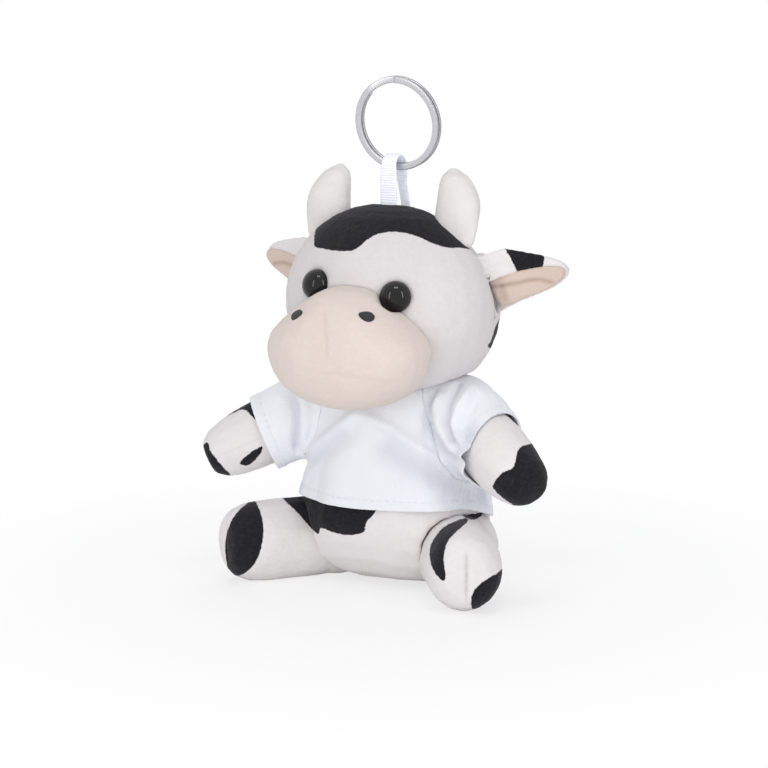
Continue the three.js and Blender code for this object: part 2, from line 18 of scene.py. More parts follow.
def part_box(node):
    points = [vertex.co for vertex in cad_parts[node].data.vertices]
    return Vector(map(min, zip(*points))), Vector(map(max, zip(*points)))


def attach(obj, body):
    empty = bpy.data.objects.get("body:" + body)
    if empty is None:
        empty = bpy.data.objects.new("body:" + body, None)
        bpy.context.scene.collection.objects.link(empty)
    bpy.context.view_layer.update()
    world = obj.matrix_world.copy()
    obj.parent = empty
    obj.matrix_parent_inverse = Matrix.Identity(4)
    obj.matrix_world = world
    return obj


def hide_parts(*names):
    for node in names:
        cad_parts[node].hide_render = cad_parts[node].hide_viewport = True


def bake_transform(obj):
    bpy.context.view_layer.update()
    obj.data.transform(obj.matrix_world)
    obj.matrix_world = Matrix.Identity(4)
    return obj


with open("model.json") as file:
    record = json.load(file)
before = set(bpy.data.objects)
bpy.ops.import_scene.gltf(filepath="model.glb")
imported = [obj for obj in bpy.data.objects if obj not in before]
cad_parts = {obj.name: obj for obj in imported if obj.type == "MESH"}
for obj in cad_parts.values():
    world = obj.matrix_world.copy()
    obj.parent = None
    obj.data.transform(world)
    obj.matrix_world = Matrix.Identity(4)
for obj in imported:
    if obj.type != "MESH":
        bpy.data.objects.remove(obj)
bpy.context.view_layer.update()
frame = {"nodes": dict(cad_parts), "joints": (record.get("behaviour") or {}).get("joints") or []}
mm = 0.001
sides = ("left", "right")
sign_of = {"left": 1, "right": -1}

# %% [markdown]
# ## The camera first
#
# The camera repeats the photograph: 29.5 degrees round from the front and a little above the toy. The same
# numbers give a function that says where a point lands in the picture. The printed black patches need it,
# because their outlines were read off the picture, while their black is stored on the plush itself.

# %% Camera and picture plane
picture_size = 768
azimuth = math.radians(29.5)
elevation = math.radians(9.5)
camera_distance = 600 * mm
focal_pixels = 2310
look_at = Vector((-3.2, -1.8, 51.0)) * mm

backward = Vector((
    math.sin(azimuth) * math.cos(elevation),
    -math.cos(azimuth) * math.cos(elevation),
    math.sin(elevation),
))
rightward = Vector((math.cos(azimuth), math.sin(azimuth), 0))
upward = backward.cross(rightward)
eye_point = look_at + backward * camera_distance

camera = bpy.data.objects.new("camera", bpy.data.cameras.new("camera"))
bpy.context.scene.collection.objects.link(camera)
camera.data.sensor_width = 36
camera.data.lens = camera.data.sensor_width * focal_pixels / picture_size
turn = Matrix((rightward, upward, backward)).transposed()
camera.matrix_world = Matrix.Translation(eye_point) @ turn.to_4x4()
bpy.context.scene.camera = camera


def in_picture(points):
    """Where points land in the picture, in its pixels."""
    away = points - np.array(eye_point)
    depth = -(away @ np.array(backward))
    x = picture_size / 2 + focal_pixels * (away @ np.array(rightward)) / depth
    y = picture_size / 2 - focal_pixels * (away @ np.array(upward)) / depth
    return np.stack([x, y], axis=1)


def ray_through(x, y):
    """The direction from the camera through a point of the picture."""
    across, up = x - picture_size / 2, picture_size / 2 - y
    return (rightward * across + upward * up - backward * focal_pixels).normalized()


pixels_per_mm = focal_pixels / camera_distance * mm
print("picture scale:", round(pixels_per_mm, 2), "pixels per mm")

# %% [markdown]
# ## Shaders as arithmetic
#
# A material is easier to read as a formula than as a web of nodes. The Socket class wraps one output and
# overloads the operators, so that an expression such as noise * 0.5 + 0.2 adds its own Math nodes. Every
# other node comes from Finish.node, which sets the node's settings first and then fills its inputs.


# %% Shader helpers
class Socket:
    """One output of a node, which takes part in arithmetic."""

    def __init__(self, finish, output):
        self.finish = finish
        self.output = output

    def math(self, operation, *others, clamp=False):
        return self.finish.node("ShaderNodeMath", [self, *others], operation=operation, use_clamp=clamp)

    def __add__(self, other):
        return self.math("ADD", other)

    def __sub__(self, other):
        return self.math("SUBTRACT", other)

    def __mul__(self, other):
        return self.math("MULTIPLY", other)

    def __truediv__(self, other):
        return self.math("DIVIDE", other)

    def clamped(self):
        return self.math("ADD", 0.0, clamp=True)


class Finish:
    """The nodes of a material, or of another owner such as the world."""

    def __init__(self, name, owner=None):
        self.owner = owner or bpy.data.materials.new(name)
        self.owner.use_nodes = True
        self.tree = self.owner.node_tree
        self.tree.nodes.clear()

    def node(self, kind, inputs=(), output=0, **settings):
        """A new node: inputs go by name, or in order, and the socket of one output comes back."""
        made = self.tree.nodes.new(kind)
        for key, value in settings.items():
            setattr(made, key, value)
        filled = inputs.items() if isinstance(inputs, dict) else enumerate(inputs)
        for key, value in filled:
            if isinstance(value, Socket):
                self.tree.links.new(value.output, made.inputs[key])
            else:
                made.inputs[key].default_value = value
        return Socket(self, made.outputs[output]) if made.outputs else None

    def place(self):
        """The shaded point, in the object's own coordinates."""
        return self.node("ShaderNodeTexCoord", output="Object")

    def stored(self, name, output="Fac"):
        """A value that the mesh carries."""
        return self.node("ShaderNodeAttribute", output=output, attribute_name=name)

    def part_of(self, vector, axis):
        return self.node("ShaderNodeSeparateXYZ", [vector], output=axis)

    def mixed(self, share, first, second):
        """Two colours, by share: each one a socket or three numbers."""
        color_factor, color_a, color_b = 0, 6, 7
        opaque = [c if isinstance(c, Socket) else (*c, 1) for c in (first, second)]
        inputs = {color_factor: share, color_a: opaque[0], color_b: opaque[1]}
        return self.node("ShaderNodeMix", inputs, output=2, data_type="RGBA")

    def speckle(self, where, size, detail=2.0, roughness=0.5):
        """Noise whose blotches are about size across."""
        inputs = {"Vector": where, "Scale": 1 / size, "Detail": detail, "Roughness": roughness}
        return self.node("ShaderNodeTexNoise", inputs, output="Fac")

    def bump(self, height, strength, distance):
        inputs = {"Strength": strength, "Distance": distance, "Height": height}
        return self.node("ShaderNodeBump", inputs)

    def seen_directly(self):
        """1 for rays from the camera, off a mirror or through glass, 0 for the rest."""
        kinds = ("Is Camera Ray", "Is Glossy Ray", "Is Transmission Ray")
        first, second, third = (self.node("ShaderNodeLightPath", output=kind) for kind in kinds)
        return first.math("MAXIMUM", second).math("MAXIMUM", third)

    def surface(self, **inputs):
        """The shader and the output: words such as base_color name the shader's own inputs."""
        named = {key.replace("_", " ").title().replace("Ior", "IOR"): v for key, v in inputs.items()}
        shader = self.node("ShaderNodeBsdfPrincipled", named)
        self.node("ShaderNodeOutputMaterial", {"Surface": shader})
        return self.owner


# %% [markdown]
# ## Velboa, the short pile of a stuffed toy
#
# Real velboa has a pile about a millimetre long that lies in small clumps. Three noises make it: wide
# cloudiness where the nap is stroked, clumps about a millimetre across, and single hairs. Sheen lightens the
# rim as a pile does. The black patches are printed on the same pile, so they share its bump, and their edge
# wanders by a hair; sparse lighter specks in their black are painted glints. How deep a point lies inside a
# patch is stored on the mesh as print_depth, and how much painted shade darkens a seam is stored with it.


# %% Velboa
def velboa(name, light, shade, crease_shade_color, printed=False):
    """A pile between two tones, with a darker third one painted down in its seams as shade."""
    finish = Finish(name)
    where = finish.place()
    nap = finish.speckle(where, 9 * mm)
    clumps = finish.speckle(where, 1.1 * mm, detail=3.0, roughness=0.65)
    hairs = finish.speckle(where, 0.34 * mm, detail=2.0, roughness=0.7)
    share = (nap * 0.55 + clumps * 0.75 + hairs * 0.35 - 0.42).clamped()
    color = finish.mixed(share, shade, light)
    # Painted shade: seams and creases are darkened towards the third tone, by the amount each vertex stores.
    color = finish.mixed(finish.stored("painted_crease_shade").clamped(), color, crease_shade_color)
    if printed:
        ink = (0.0140, 0.0132, 0.0162)
        glint_color = (0.034, 0.033, 0.040)
        edge_width = 0.16
        frayed = finish.stored("print_depth") + (clumps - 0.5) * 0.6 + (hairs - 0.5) * 0.5
        # Painted glints: sparse lighter specks in the black stand for highlights on the print.
        glints = ((hairs * clumps - 0.25) * 4.0).clamped()
        color = finish.mixed((frayed / edge_width + 0.5).clamped(), color, finish.mixed(glints, ink, glint_color))
    return finish.surface(
        base_color=color,
        roughness=0.95,
        specular_ior_level=0.15,
        sheen_weight=0.1,
        sheen_roughness=0.5,
        normal=finish.bump(clumps * 0.7 + hairs * 0.5, 0.55, 0.35 * mm),
    )


# The head and the rest of the toy wear one white plush. Its copies are painted light and shade: the head's
# is darker and the others' lighter, because the lamps fall stronger on the head than on the legs.
lightened_white_velboa = velboa("lightened_white_velboa", (0.86, 0.825, 0.825), (0.775, 0.735, 0.735), (0.36, 0.31, 0.31), True)
darkened_white_velboa = velboa("darkened_white_velboa", (0.775, 0.74, 0.745), (0.69, 0.65, 0.655), (0.34, 0.29, 0.29), True)
peach_velboa = velboa("peach_velboa", (0.80, 0.705, 0.655), (0.73, 0.63, 0.575), (0.64, 0.47, 0.39))
# The ear lining is a deeper peach than the muzzle, and darker still by painted shade from the ear folded
# over it.
shaded_lining_velboa = velboa("shaded_lining_velboa", (0.73, 0.60, 0.53), (0.64, 0.51, 0.44), (0.40, 0.28, 0.22))
cream_velboa = velboa("cream_velboa", (0.82, 0.79, 0.78), (0.765, 0.73, 0.72), (0.5, 0.46, 0.43))

# %% [markdown]
# ## From a plain solid to a stuffed form
#
# Each stuffed piece starts as a copy of its own construction solid. A voxel remesh gives it one even skin,
# smoothing takes the flat facets away, and a small swell closes the fitting gap to its neighbours, as
# stuffing does. Then the skin is worked like clay: every vertex moves along its normal by a sum of grooves,
# dents and soft lumps. The remesh comes first because it would erase a seam narrower than a voxel.


# %% Mesh helpers
def copied(*nodes):
    """The triangles of construction nodes, joined at their shared corners."""
    work = bmesh.new()
    for node in nodes:
        work.from_mesh(frame["nodes"][node].data)
    bmesh.ops.remove_doubles(work, verts=work.verts, dist=0.001 * mm)
    return work


def as_piece(name, work, material, smooth=True):
    for face in work.faces:
        face.smooth = smooth
    mesh = bpy.data.meshes.new(name)
    work.to_mesh(mesh)
    work.free()
    mesh.materials.append(material)
    piece = bpy.data.objects.new(name, mesh)
    bpy.context.scene.collection.objects.link(piece)
    return piece


def evenly_meshed(work, voxel):
    """The same bodies as one closed skin of even squares."""
    mesh = bpy.data.meshes.new("lump")
    work.to_mesh(mesh)
    work.free()
    lump = bpy.data.objects.new("lump", mesh)
    bpy.context.scene.collection.objects.link(lump)
    remesh = lump.modifiers.new("voxels", "REMESH")
    remesh.mode = "VOXEL"
    remesh.voxel_size = voxel
    even = bpy.data.meshes.new_from_object(lump.evaluated_get(bpy.context.evaluated_depsgraph_get()))
    result = bmesh.new()
    result.from_mesh(even)
    bpy.data.objects.remove(lump)
    bpy.data.meshes.remove(mesh)
    bpy.data.meshes.remove(even)
    return result


def smoothed(work, times, verts=None):
    for _ in range(times):
        bmesh.ops.smooth_vert(work, verts=verts or work.verts, factor=0.5,
                              use_axis_x=True, use_axis_y=True, use_axis_z=True)
    return work


def points_of(work):
    return np.array([v.co[:] for v in work.verts])


def normals_of(work):
    work.normal_update()
    return np.array([v.normal[:] for v in work.verts])


def pushed(work, amounts):
    """Moves every vertex along its normal by its own amount."""
    amounts = np.broadcast_to(amounts, len(work.verts))
    work.normal_update()
    for v, amount in zip(work.verts, amounts):
        v.co += v.normal * float(amount)
    return work


def lumps(points, size, seed):
    """Soft noise between about -1 and 1, whose lumps are about size across."""
    shift = Vector((seed, 2 * seed, -seed))
    return np.array([noise.noise(Vector(p) / size + shift) for p in points])


def uneven(points, *layers):
    """Lumps of several sizes: each layer is its height and size, in mm, and a seed."""
    return sum(height * mm * lumps(points, size * mm, seed) for height, size, seed in layers)


def groove(distance, width):
    """1 on a line and 0 away from it."""
    return np.exp(-((distance / width) ** 2))


def distance_to(places, line):
    """How far each place lies from a bent line, and how far along the line its nearest point is, 0 to 1."""
    nearest = np.full(len(places), np.inf)
    share = np.zeros(len(places))
    line = np.array(line, float)
    for i, (start, end) in enumerate(zip(line, line[1:])):
        side = end - start
        along = np.clip(((places - start) @ side) / (side @ side), 0, 1)
        gap = np.linalg.norm(places - start - along[:, None] * side, axis=1)
        closer = gap < nearest
        nearest = np.where(closer, gap, nearest)
        share = np.where(closer, (i + along) / (len(line) - 1), share)
    return nearest, share


def faded(share, length):
    """0 at both ends of a line and 1 beyond length from them, for shares of 0 to 1 along it."""
    return np.clip(share / length, 0, 1) * np.clip((1 - share) / length, 0, 1)


def rising(values, start, width):
    """0 up to start, then rising to 1 over width."""
    return np.clip((values - start) / width, 0, 1)


def falling(values, end, width):
    """0 from end on, and 1 until width before it."""
    return np.clip((end - values) / width, 0, 1)


def upright(normals):
    """1 where the surface stands upright and 0 where it lies level."""
    return np.hypot(normals[:, 0], normals[:, 1])


def near(points, place, reach):
    return groove(np.linalg.norm(points - np.array(place), axis=1), reach)


def middle_of(node):
    low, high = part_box(node)
    return (low + high) / 2


def tree_of(piece):
    """The surface of a piece, for looking up its nearest point."""
    work = bmesh.new()
    work.from_mesh(piece.data)
    tree = BVHTree.FromBMesh(work)
    work.free()
    return tree


def swept(work, sections, segments, shape):
    """A closed skin through rings: shape(k, verts) moves the k-th circle of radius 1 to its place."""
    last_edges = []
    for k in range(sections):
        is_end = k in (0, sections - 1)
        verts = bmesh.ops.create_circle(work, cap_ends=is_end, segments=segments, radius=1.0)["verts"]
        shape(k, verts)
        edges = list({e for v in verts for e in v.link_edges if len(e.link_faces) < 2})
        if last_edges:
            bmesh.ops.bridge_loops(work, edges=last_edges + edges)
        last_edges = edges


# %% [markdown]
# ## Printed patches
#
# A patch is an outline of a few picture points, rounded by a closed curve through them. Each vertex of the
# plush is looked up in the picture, and its distance to the outline, positive inside, is stored in
# millimetres. A shader that cuts this distance at zero draws a smooth edge between vertices.


# %% Patches from outlines
def rounded(outline, steps=5):
    """A closed smooth curve through a few corner points."""
    corners = np.array(outline, float)
    curve = []
    for i in range(len(corners)):
        a, b, c, d = (corners[(i + k) % len(corners)] for k in (-1, 0, 1, 2))
        for j in range(steps):
            t = j / steps
            curve.append(0.5 * (2 * b + (c - a) * t + (2 * a - 5 * b + 4 * c - d) * t**2
                                + (3 * b - a - 3 * c + d) * t**3))
    return np.array(curve)


def depth_inside(places, curve):
    """How far each place lies inside a closed curve. Outside it is negative."""
    nearest = np.full(len(places), np.inf)
    inside = np.zeros(len(places), bool)
    for start, end in zip(curve, np.roll(curve, -1, axis=0)):
        side = end - start
        along = np.clip(((places - start) @ side) / max(side @ side, 1e-12), 0, 1)
        nearest = np.minimum(nearest, np.linalg.norm(places - start - along[:, None] * side, axis=1))
        spans = (start[1] > places[:, 1]) != (end[1] > places[:, 1])
        rise = np.where(abs(side[1]) > 1e-12, side[1], 1e-12)
        crossing = start[0] + (places[:, 1] - start[1]) / rise * side[0]
        inside ^= spans & (places[:, 0] < crossing)
    return np.where(inside, nearest, -nearest)


def towards_eye(points, normals):
    """The cosine between each normal and the direction to the camera."""
    to_eye = np.array(eye_point) - points
    to_eye /= np.linalg.norm(to_eye, axis=1, keepdims=True)
    return np.einsum("ij,ij->i", normals, to_eye)


print_wrap = 0.35
far_outside = 9.0


def print_patches(work, patches, normals):
    """Stores how deep each vertex lies in any of the patches, in mm. The print turns the edge a little.

    A patch is an outline, or an outline and a function that gives the depth, in mm, inside another limit.
    """
    points = points_of(work)
    places = in_picture(points)
    on_near_side = (towards_eye(points, normals) + print_wrap) * far_outside
    depth = np.full(len(points), -far_outside)
    for patch in patches:
        outline, limit = patch if isinstance(patch, tuple) else (patch, None)
        inside = np.minimum(depth_inside(places, rounded(outline)) / pixels_per_mm, on_near_side)
        if limit:
            inside = np.minimum(inside, limit(points))
        depth = np.maximum(depth, inside)
    store(work, "print_depth", depth)


def store(work, name, values):
    layer = work.verts.layers.float.get(name) or work.verts.layers.float.new(name)
    for v, value in zip(work.verts, values):
        v[layer] = float(value)


ground_gap = 0.05 * mm
pile_lumps = (0.08, 0.95, 6.6)


def stuffed(name, node, body, material, relief, voxel=0.45 * mm, swell=0.3 * mm, rounds=10,
            patches=()):
    """One stuffed piece over its construction node. relief gives (height, painted crease shade) for each
    point.
    """
    work = smoothed(evenly_meshed(copied(node), voxel), rounds)
    pushed(work, swell)
    points, normals = points_of(work), normals_of(work)
    height, crease_shade = relief(points, normals)
    pushed(work, height + uneven(points, pile_lumps))
    for v in work.verts:
        v.co.z = max(v.co.z, ground_gap)
    print_patches(work, patches, normals)
    # The painted shade of seams and creases, kept for the material's darker tone
    store(work, "painted_crease_shade", np.clip(crease_shade, 0, 1))
    piece = as_piece(name, work, material)
    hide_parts(node)
    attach(piece, body)
    print(name, "triangles:", 2 * len(piece.data.polygons))
    return piece


# %% [markdown]
# ## The head
#
# The head is two plush panels sewn together over the top, from ear to ear. The horns, ears and ribbon are
# caught in that seam, so it pulls in between them. The eye shanks pull the face in around each eye. The
# black forehead print stops at the seam, and a small second print lies below the ear on the toy's left.

# %% Head
# The seam over the head: distances from the middle, and its y there, both in mm
seam_bow = ([0, 6, 11, 18, 22, 27], [-0.6, -0.8, -1.6, -1.8, -1.2, -0.5])
forehead_patch = [
    (314.2, 244.7), (316, 229), (330, 211), (350, 199), (371, 190), (392, 188), (412, 192),
    (440, 210), (462, 228), (478, 246), (470, 249), (459, 247.6), (447.4, 247.6), (434.1, 243.9),
    (417.5, 236.4), (404.3, 232.8), (389.4, 231.8), (376.1, 234.8), (366.1, 240.6), (359.5, 246.4),
    (352.9, 250.5), (339.6, 251), (326.3, 249.4), (316.4, 247.2),
]
nape_patch = [(502, 317), (498, 321.4), (494.6, 329.5), (491.2, 340), (488, 347), (502, 350), (508, 330)]
eye_places = {side: middle_of(f"eye_{side}") for side in sides}
horn_roots = {side: middle_of(f"horn_{side}") for side in sides}
for side, root in horn_roots.items():
    root.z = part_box(f"horn_{side}")[0].z
joint_at = {j["name"]: Vector(j["pos_m"]) for j in frame["joints"]}


def before_seam(points):
    """How far each point lies in front of the seam over the head, in metres."""
    return np.interp(np.abs(points[:, 0]) / mm, *seam_bow) * mm - points[:, 1]


eye_dent, horn_dent, ear_dent = (0.9 * mm, 6.2 * mm), (0.5 * mm, 7 * mm), (0.7 * mm, 5 * mm)


def head_relief(points, normals):
    over_the_top = points[:, 2] > 70 * mm
    ahead = before_seam(points)
    seam = groove(ahead, 0.38 * mm) * over_the_top
    height = -0.45 * mm * seam - 0.3 * mm * groove(ahead, 2.0 * mm) * over_the_top
    for side in sides:
        dents = [
            (eye_places[side], eye_dent), (horn_roots[side], horn_dent),
            (joint_at[f"ear_{side}_flap"], ear_dent),
        ]
        for place, (deep, reach) in dents:
            height -= deep * near(points, place, reach)
    height += uneven(points, (0.3, 13, 3.1), (0.1, 4.5, 7.7))
    return height, 0.8 * seam


def forehead_limit(points):
    """How deep each point lies in front of the seam's own edge, in mm."""
    return before_seam(points) / mm - 0.25


head = stuffed("head_plush", "head", "head", darkened_white_velboa, head_relief,
               patches=[(forehead_patch, forehead_limit), nape_patch])

# %% [markdown]
# ## The muzzle
#
# The muzzle is a separate peach pad, closed by a seam down its middle and another under the lip. Both fade
# out at their ends. Its nostrils come later, once the threads have their material.

# %% Muzzle
mouth_line = [(304, 369.5), (328, 374), (362, 378), (386, 382), (400.5, 379)]
muzzle_crease = [(323, 306), (323.5, 318), (324.7, 336), (327, 369.5)]


def muzzle_relief(points, normals):
    front = np.clip(-normals[:, 1] * 2, 0, 1)
    places = in_picture(points)
    height, crease_shade = 0.0, 0.0
    for line, deep, dark in ((mouth_line, 0.13, 0.16), (muzzle_crease, 0.2, 0.2)):
        gap, share = distance_to(places, line)
        fold = groove(gap / pixels_per_mm, 0.55) * faded(share, 0.2) * front
        height = height - deep * mm * fold
        crease_shade = crease_shade + dark * fold
    height += uneven(points, (0.26, 10, 1.3), (0.12, 3.5, 5.2))
    return height, crease_shade


muzzle = stuffed("muzzle_plush", "muzzle", "head", peach_velboa, muzzle_relief, swell=0.36 * mm)

# %% [markdown]
# ## Arms, legs and torso
#
# The limbs are stubs. The arms have a seam along each side and the legs one down the sole. The torso's lower
# half shows under the shirt, with one wide print that runs on over the thigh on the toy's right.

# %% Patches on the limbs and the torso
tip_patch = [(207, 442), (198, 455), (201, 477), (229, 476), (224, 468), (217, 459.5), (210.5, 451)]
elbow_patch = [(222, 418), (231, 404), (247, 391), (258, 397), (263, 421), (254.5, 419), (243, 409.5)]
slash_patch = [
    (262, 446.5), (252, 451.5), (240.6, 461.5), (241, 464.5), (247.2, 465.6), (254, 461), (261, 452.5),
]
mitten_patch = [
    (515.9, 459.5), (519.3, 447.9), (529.2, 444.2), (541, 443), (551, 458), (551, 484), (536, 501),
    (518, 507), (495, 491), (494.5, 482), (502.7, 472.8), (513, 467.5),
]
sole_patch = [
    (252.5, 500.5), (258.5, 507), (263.3, 525.8), (261.9, 544.8), (254.5, 564), (241, 575.2), (230, 573.5),
    (226, 558), (225.5, 540.4), (231.1, 521.4), (241.3, 508.2),
]
thigh_patch = [
    (276, 488), (283.5, 499), (296.5, 511.8), (317, 533.5), (321, 528), (333.8, 532.6), (348.4, 535.2),
    (363.8, 532), (366, 523), (375, 512), (378, 500), (330, 480),
]
crescent_patch = [
    (464.5, 518.2), (444.6, 526.5), (432.8, 540.8), (429.5, 553), (432, 567.3), (441.5, 580.5),
    (445.6, 576.6), (443.8, 559), (446.6, 543.4), (453.9, 534.1), (467.5, 521.5),
]
heel_patch = [
    (503, 569), (497, 573.5), (486, 579.5), (474, 590.5), (471.2, 604), (476, 612), (494, 603), (507, 582),
]
side_patch = [(461, 513), (470, 519.5), (479, 517.5), (484, 510), (472, 506)]

# %% Limbs
arm_forward = math.radians(30)
arm_down = {"left": math.radians(23), "right": math.radians(25)}
leg_out = math.radians(33)
arm_aim = {}
shoulder_at = {}
for side, sign in sign_of.items():
    shoulder_at[side] = joint_at[f"arm_{side}_lift"]
    arm_aim[side] = Vector((
        sign * math.cos(arm_forward) * math.cos(arm_down[side]),
        -math.sin(arm_forward) * math.cos(arm_down[side]),
        -math.sin(arm_down[side]),
    ))


def arm_relief(side):
    """The relief of one arm, whose seams run along its axis."""
    shoulder = np.array(shoulder_at[side])
    aim = np.array(arm_aim[side])
    across = np.cross(aim, (0, 0, 1))
    across /= np.linalg.norm(across)

    def relief(points, normals):
        out = (points - shoulder) @ aim
        seam_side = (points - shoulder) @ np.cross(across, aim)
        seam = groove(seam_side - 0.5 * mm, 0.4 * mm) * (out > 12 * mm)
        height = uneven(points, (0.32, 9, 4.4), (0.12, 3.6, 9.1)) - 0.1 * mm * seam
        return height, 0.08 * seam

    return relief


def leg_relief(side):
    """The relief of one leg: a stitched seam down its sole, and a fuller lower half near the hip."""
    sign = sign_of[side]
    hip = np.array(joint_at[f"leg_{side}_spread"])
    aim = np.array((sign * math.sin(leg_out), -math.cos(leg_out), 0))
    across = np.array((math.cos(leg_out), sign * math.sin(leg_out), 0))
    stitch_wave = 0.32 * mm

    def relief(points, normals):
        y, z = points[:, 1], points[:, 2]
        out = (points - hip) @ aim
        aside = (points - hip) @ across
        window = rising(z, 3 * mm, 3 * mm) * falling(z, 17 * mm, 3 * mm)
        sole = np.clip((normals @ aim - 0.25) * 2, 0, 1) * window
        seam = groove(aside, 0.4 * mm) * sole
        height = (-0.34 - 0.14 * np.sin(z / stitch_wave)) * mm * seam
        height -= 0.3 * mm * groove(aside, 1.6 * mm) * sole
        low = falling(z, 13 * mm, 8 * mm) * upright(normals) * falling(y, 0, 6 * mm)
        height += 1.2 * mm * low * falling(out, 14 * mm, 10 * mm)
        height += uneven(points, (0.35, 10, 6.4), (0.14, 3.8, 2.9)) * (z > 1.5 * mm)
        return height, 0.34 * seam

    return relief


arm_patches = {"left": [mitten_patch], "right": [tip_patch, elbow_patch, slash_patch]}
leg_patches = {"left": [crescent_patch, heel_patch, side_patch], "right": [sole_patch, thigh_patch]}
stuffed_pieces = []
for side in sides:
    arm = stuffed(f"arm_plush_{side}", f"arm_{side}", f"arm_{side}", lightened_white_velboa, arm_relief(side),
                  patches=arm_patches[side])
    leg = stuffed(f"leg_plush_{side}", f"leg_{side}", f"leg_{side}", lightened_white_velboa, leg_relief(side),
                  patches=leg_patches[side], swell=0.35 * mm)
    stuffed_pieces += [leg, arm]


# %% Torso
def torso_relief(points, normals):
    z = points[:, 2]
    height = uneven(points, (0.3, 12, 8.3), (0.12, 4, 1.9))
    height += 1.9 * mm * falling(z, 13 * mm, 8 * mm) * upright(normals)
    return height * rising(z, 0.8 * mm, 1.5 * mm), np.zeros(len(points))


torso = stuffed("torso_plush", "torso", "torso", lightened_white_velboa, torso_relief,
                patches=[thigh_patch], swell=0.3 * mm)
stuffed_pieces.append(torso)

# %% [markdown]
# ## Horns and ears
#
# The horns are small stuffed shells with a seam round their edge. The ears are a white layer sewn to a
# peach one. Each ear is folded forward along its length, so that the white upper half hangs over the
# lining. The roots of horns and ears are pulled back into the head, so that nothing stands off it.


# %% Horns
def horn_relief(points, normals):
    seam = groove(points[:, 1] - points[:, 1].mean(), 0.35 * mm)
    return uneven(points, (0.12, 5, 2.2)) - 0.12 * mm * seam, 0.12 * seam


def rooted(piece, place, outward, reach, sink):
    """Pulls the root end of a piece back into the plush that it is sewn to."""
    for v in piece.data.vertices:
        out = (v.co - place).dot(outward)
        v.co -= outward * sink * min(max(1 - out / reach, 0), 1)


for side in sides:
    horn = stuffed(f"horn_plush_{side}", f"horn_{side}", "head", cream_velboa, horn_relief,
                   voxel=0.4 * mm, swell=0.35 * mm, rounds=6)
    rooted(horn, horn_roots[side], Vector((0, 0, 1)), 7 * mm, 3.5 * mm)

# %% Ears
ear_patch = [(506, 247), (511, 259), (520.3, 275.5), (530, 273), (541.6, 268.3), (542.5, 254), (520, 244)]
ear_fold = [(491, 285), (507.9, 283.9), (518.6, 283), (529.3, 279.9), (539, 279.5), (551, 282)]
ear_tuck = [(507, 284), (508, 290), (511.4, 298)]


def ear_relief(points, normals):
    return uneven(points, (0.12, 5, 5.5)), np.zeros(len(points))


def lining_relief(points, normals):
    """Both linings are creased alike: the far one is looked up at its mirrored place."""
    places = in_picture(points * np.where(points[:, :1] > 0, 1, [[-1, 1, 1]]))
    fold = groove(distance_to(places, ear_fold)[0] / pixels_per_mm, 0.62)
    tuck = groove(distance_to(places, ear_tuck)[0] / pixels_per_mm, 0.5)
    height = uneven(points, (0.12, 5, 5.5)) - 0.15 * mm * fold - 0.12 * mm * tuck
    # Besides their dent, the fold and the tuck return painted shade.
    return height, 0.6 * fold + 0.3 * tuck


def sunk(piece, root, outward):
    """Draws the part of an ear next to its root down to just under the head's surface."""
    for v in piece.data.vertices:
        skin, out, _, _ = head_tree.find_nearest(v.co)
        near_root = min(max(1 - (v.co - root).dot(outward) / root_reach, 0), 1)
        if (v.co - skin).dot(out) > -root_depth / 2:
            v.co = v.co.lerp(skin - out * root_depth, near_root)


head_faces = [face.vertices for face in head.data.polygons]
head_tree = BVHTree.FromPolygons([v.co for v in head.data.vertices], head_faces)
root_reach = 6 * mm
root_depth = 1 * mm
for side in sides:
    ear = stuffed(f"ear_plush_{side}", f"ear_{side}", f"ear_{side}", lightened_white_velboa, ear_relief,
                  voxel=0.35 * mm, swell=0.25 * mm, rounds=6, patches=[ear_patch] if side == "left" else [])
    lining = stuffed(f"ear_lining_plush_{side}", f"ear_lining_{side}", f"ear_{side}", shaded_lining_velboa,
                     lining_relief, voxel=0.28 * mm, swell=0.36 * mm, rounds=5)
    root = joint_at[f"ear_{side}_flap"]
    outward = Vector((root.x, 0, 9 * mm)).normalized()
    for piece in (ear, lining):
        rooted(piece, root, outward, 7 * mm, 4.2 * mm)
    sunk(ear, root, outward)

# %% [markdown]
# ## Safety eyes
#
# A safety eye is moulded in one piece: a polished dome with a small brim, on a shank that the lock washer
# grips inside the head. Its profile is spun round the shank's axis, which runs through the washer's middle
# and at right angles to the washer.

# %% Eye material
eye_finish = Finish("eye_gloss")
haze = eye_finish.speckle(eye_finish.place(), 2.5 * mm)
eye_color = eye_finish.mixed(haze, (0.003, 0.003, 0.0032), (0.006, 0.0056, 0.0054))
eye_gloss = eye_finish.surface(base_color=eye_color, roughness=haze * 0.02 + 0.03, specular_ior_level=0.36)

# %% Eyes
eye_radius = 4.0 * mm
eye_dome = 3.4 * mm
eye_brim = 0.5 * mm
shank_radius = 1.3 * mm
shank_length = 8 * mm


def eye_axis(side):
    """The direction out of the face, square to the flat washer, and the washer's middle."""
    points = points_of(copied(f"eye_washer_{side}"))
    middle = points.mean(axis=0)
    thinnest = Vector(np.linalg.svd(points - middle)[2][2])
    ahead = eye_places[side] - Vector(middle)
    return thinnest if thinnest.dot(ahead) > 0 else -thinnest, Vector(middle)


def spun(profile, axis, place, steps=64):
    """A closed body: the profile runs from the axis out and back to it, as (radius, height) pairs."""
    work = bmesh.new()
    turn = Vector((0, 0, 1)).rotation_difference(axis).to_matrix()
    verts = [work.verts.new(place + turn @ Vector((r, 0, h))) for r, h in profile]
    edges = [work.edges.new(pair) for pair in zip(verts, verts[1:])]
    bmesh.ops.spin(work, geom=verts + edges, cent=place, axis=axis, angle=2 * math.pi, steps=steps,
                   use_merge=True, use_normal_flip=False, use_duplicate=False)
    bmesh.ops.remove_doubles(work, verts=work.verts, dist=0.004 * mm)
    bmesh.ops.recalc_face_normals(work, faces=work.faces)
    return work


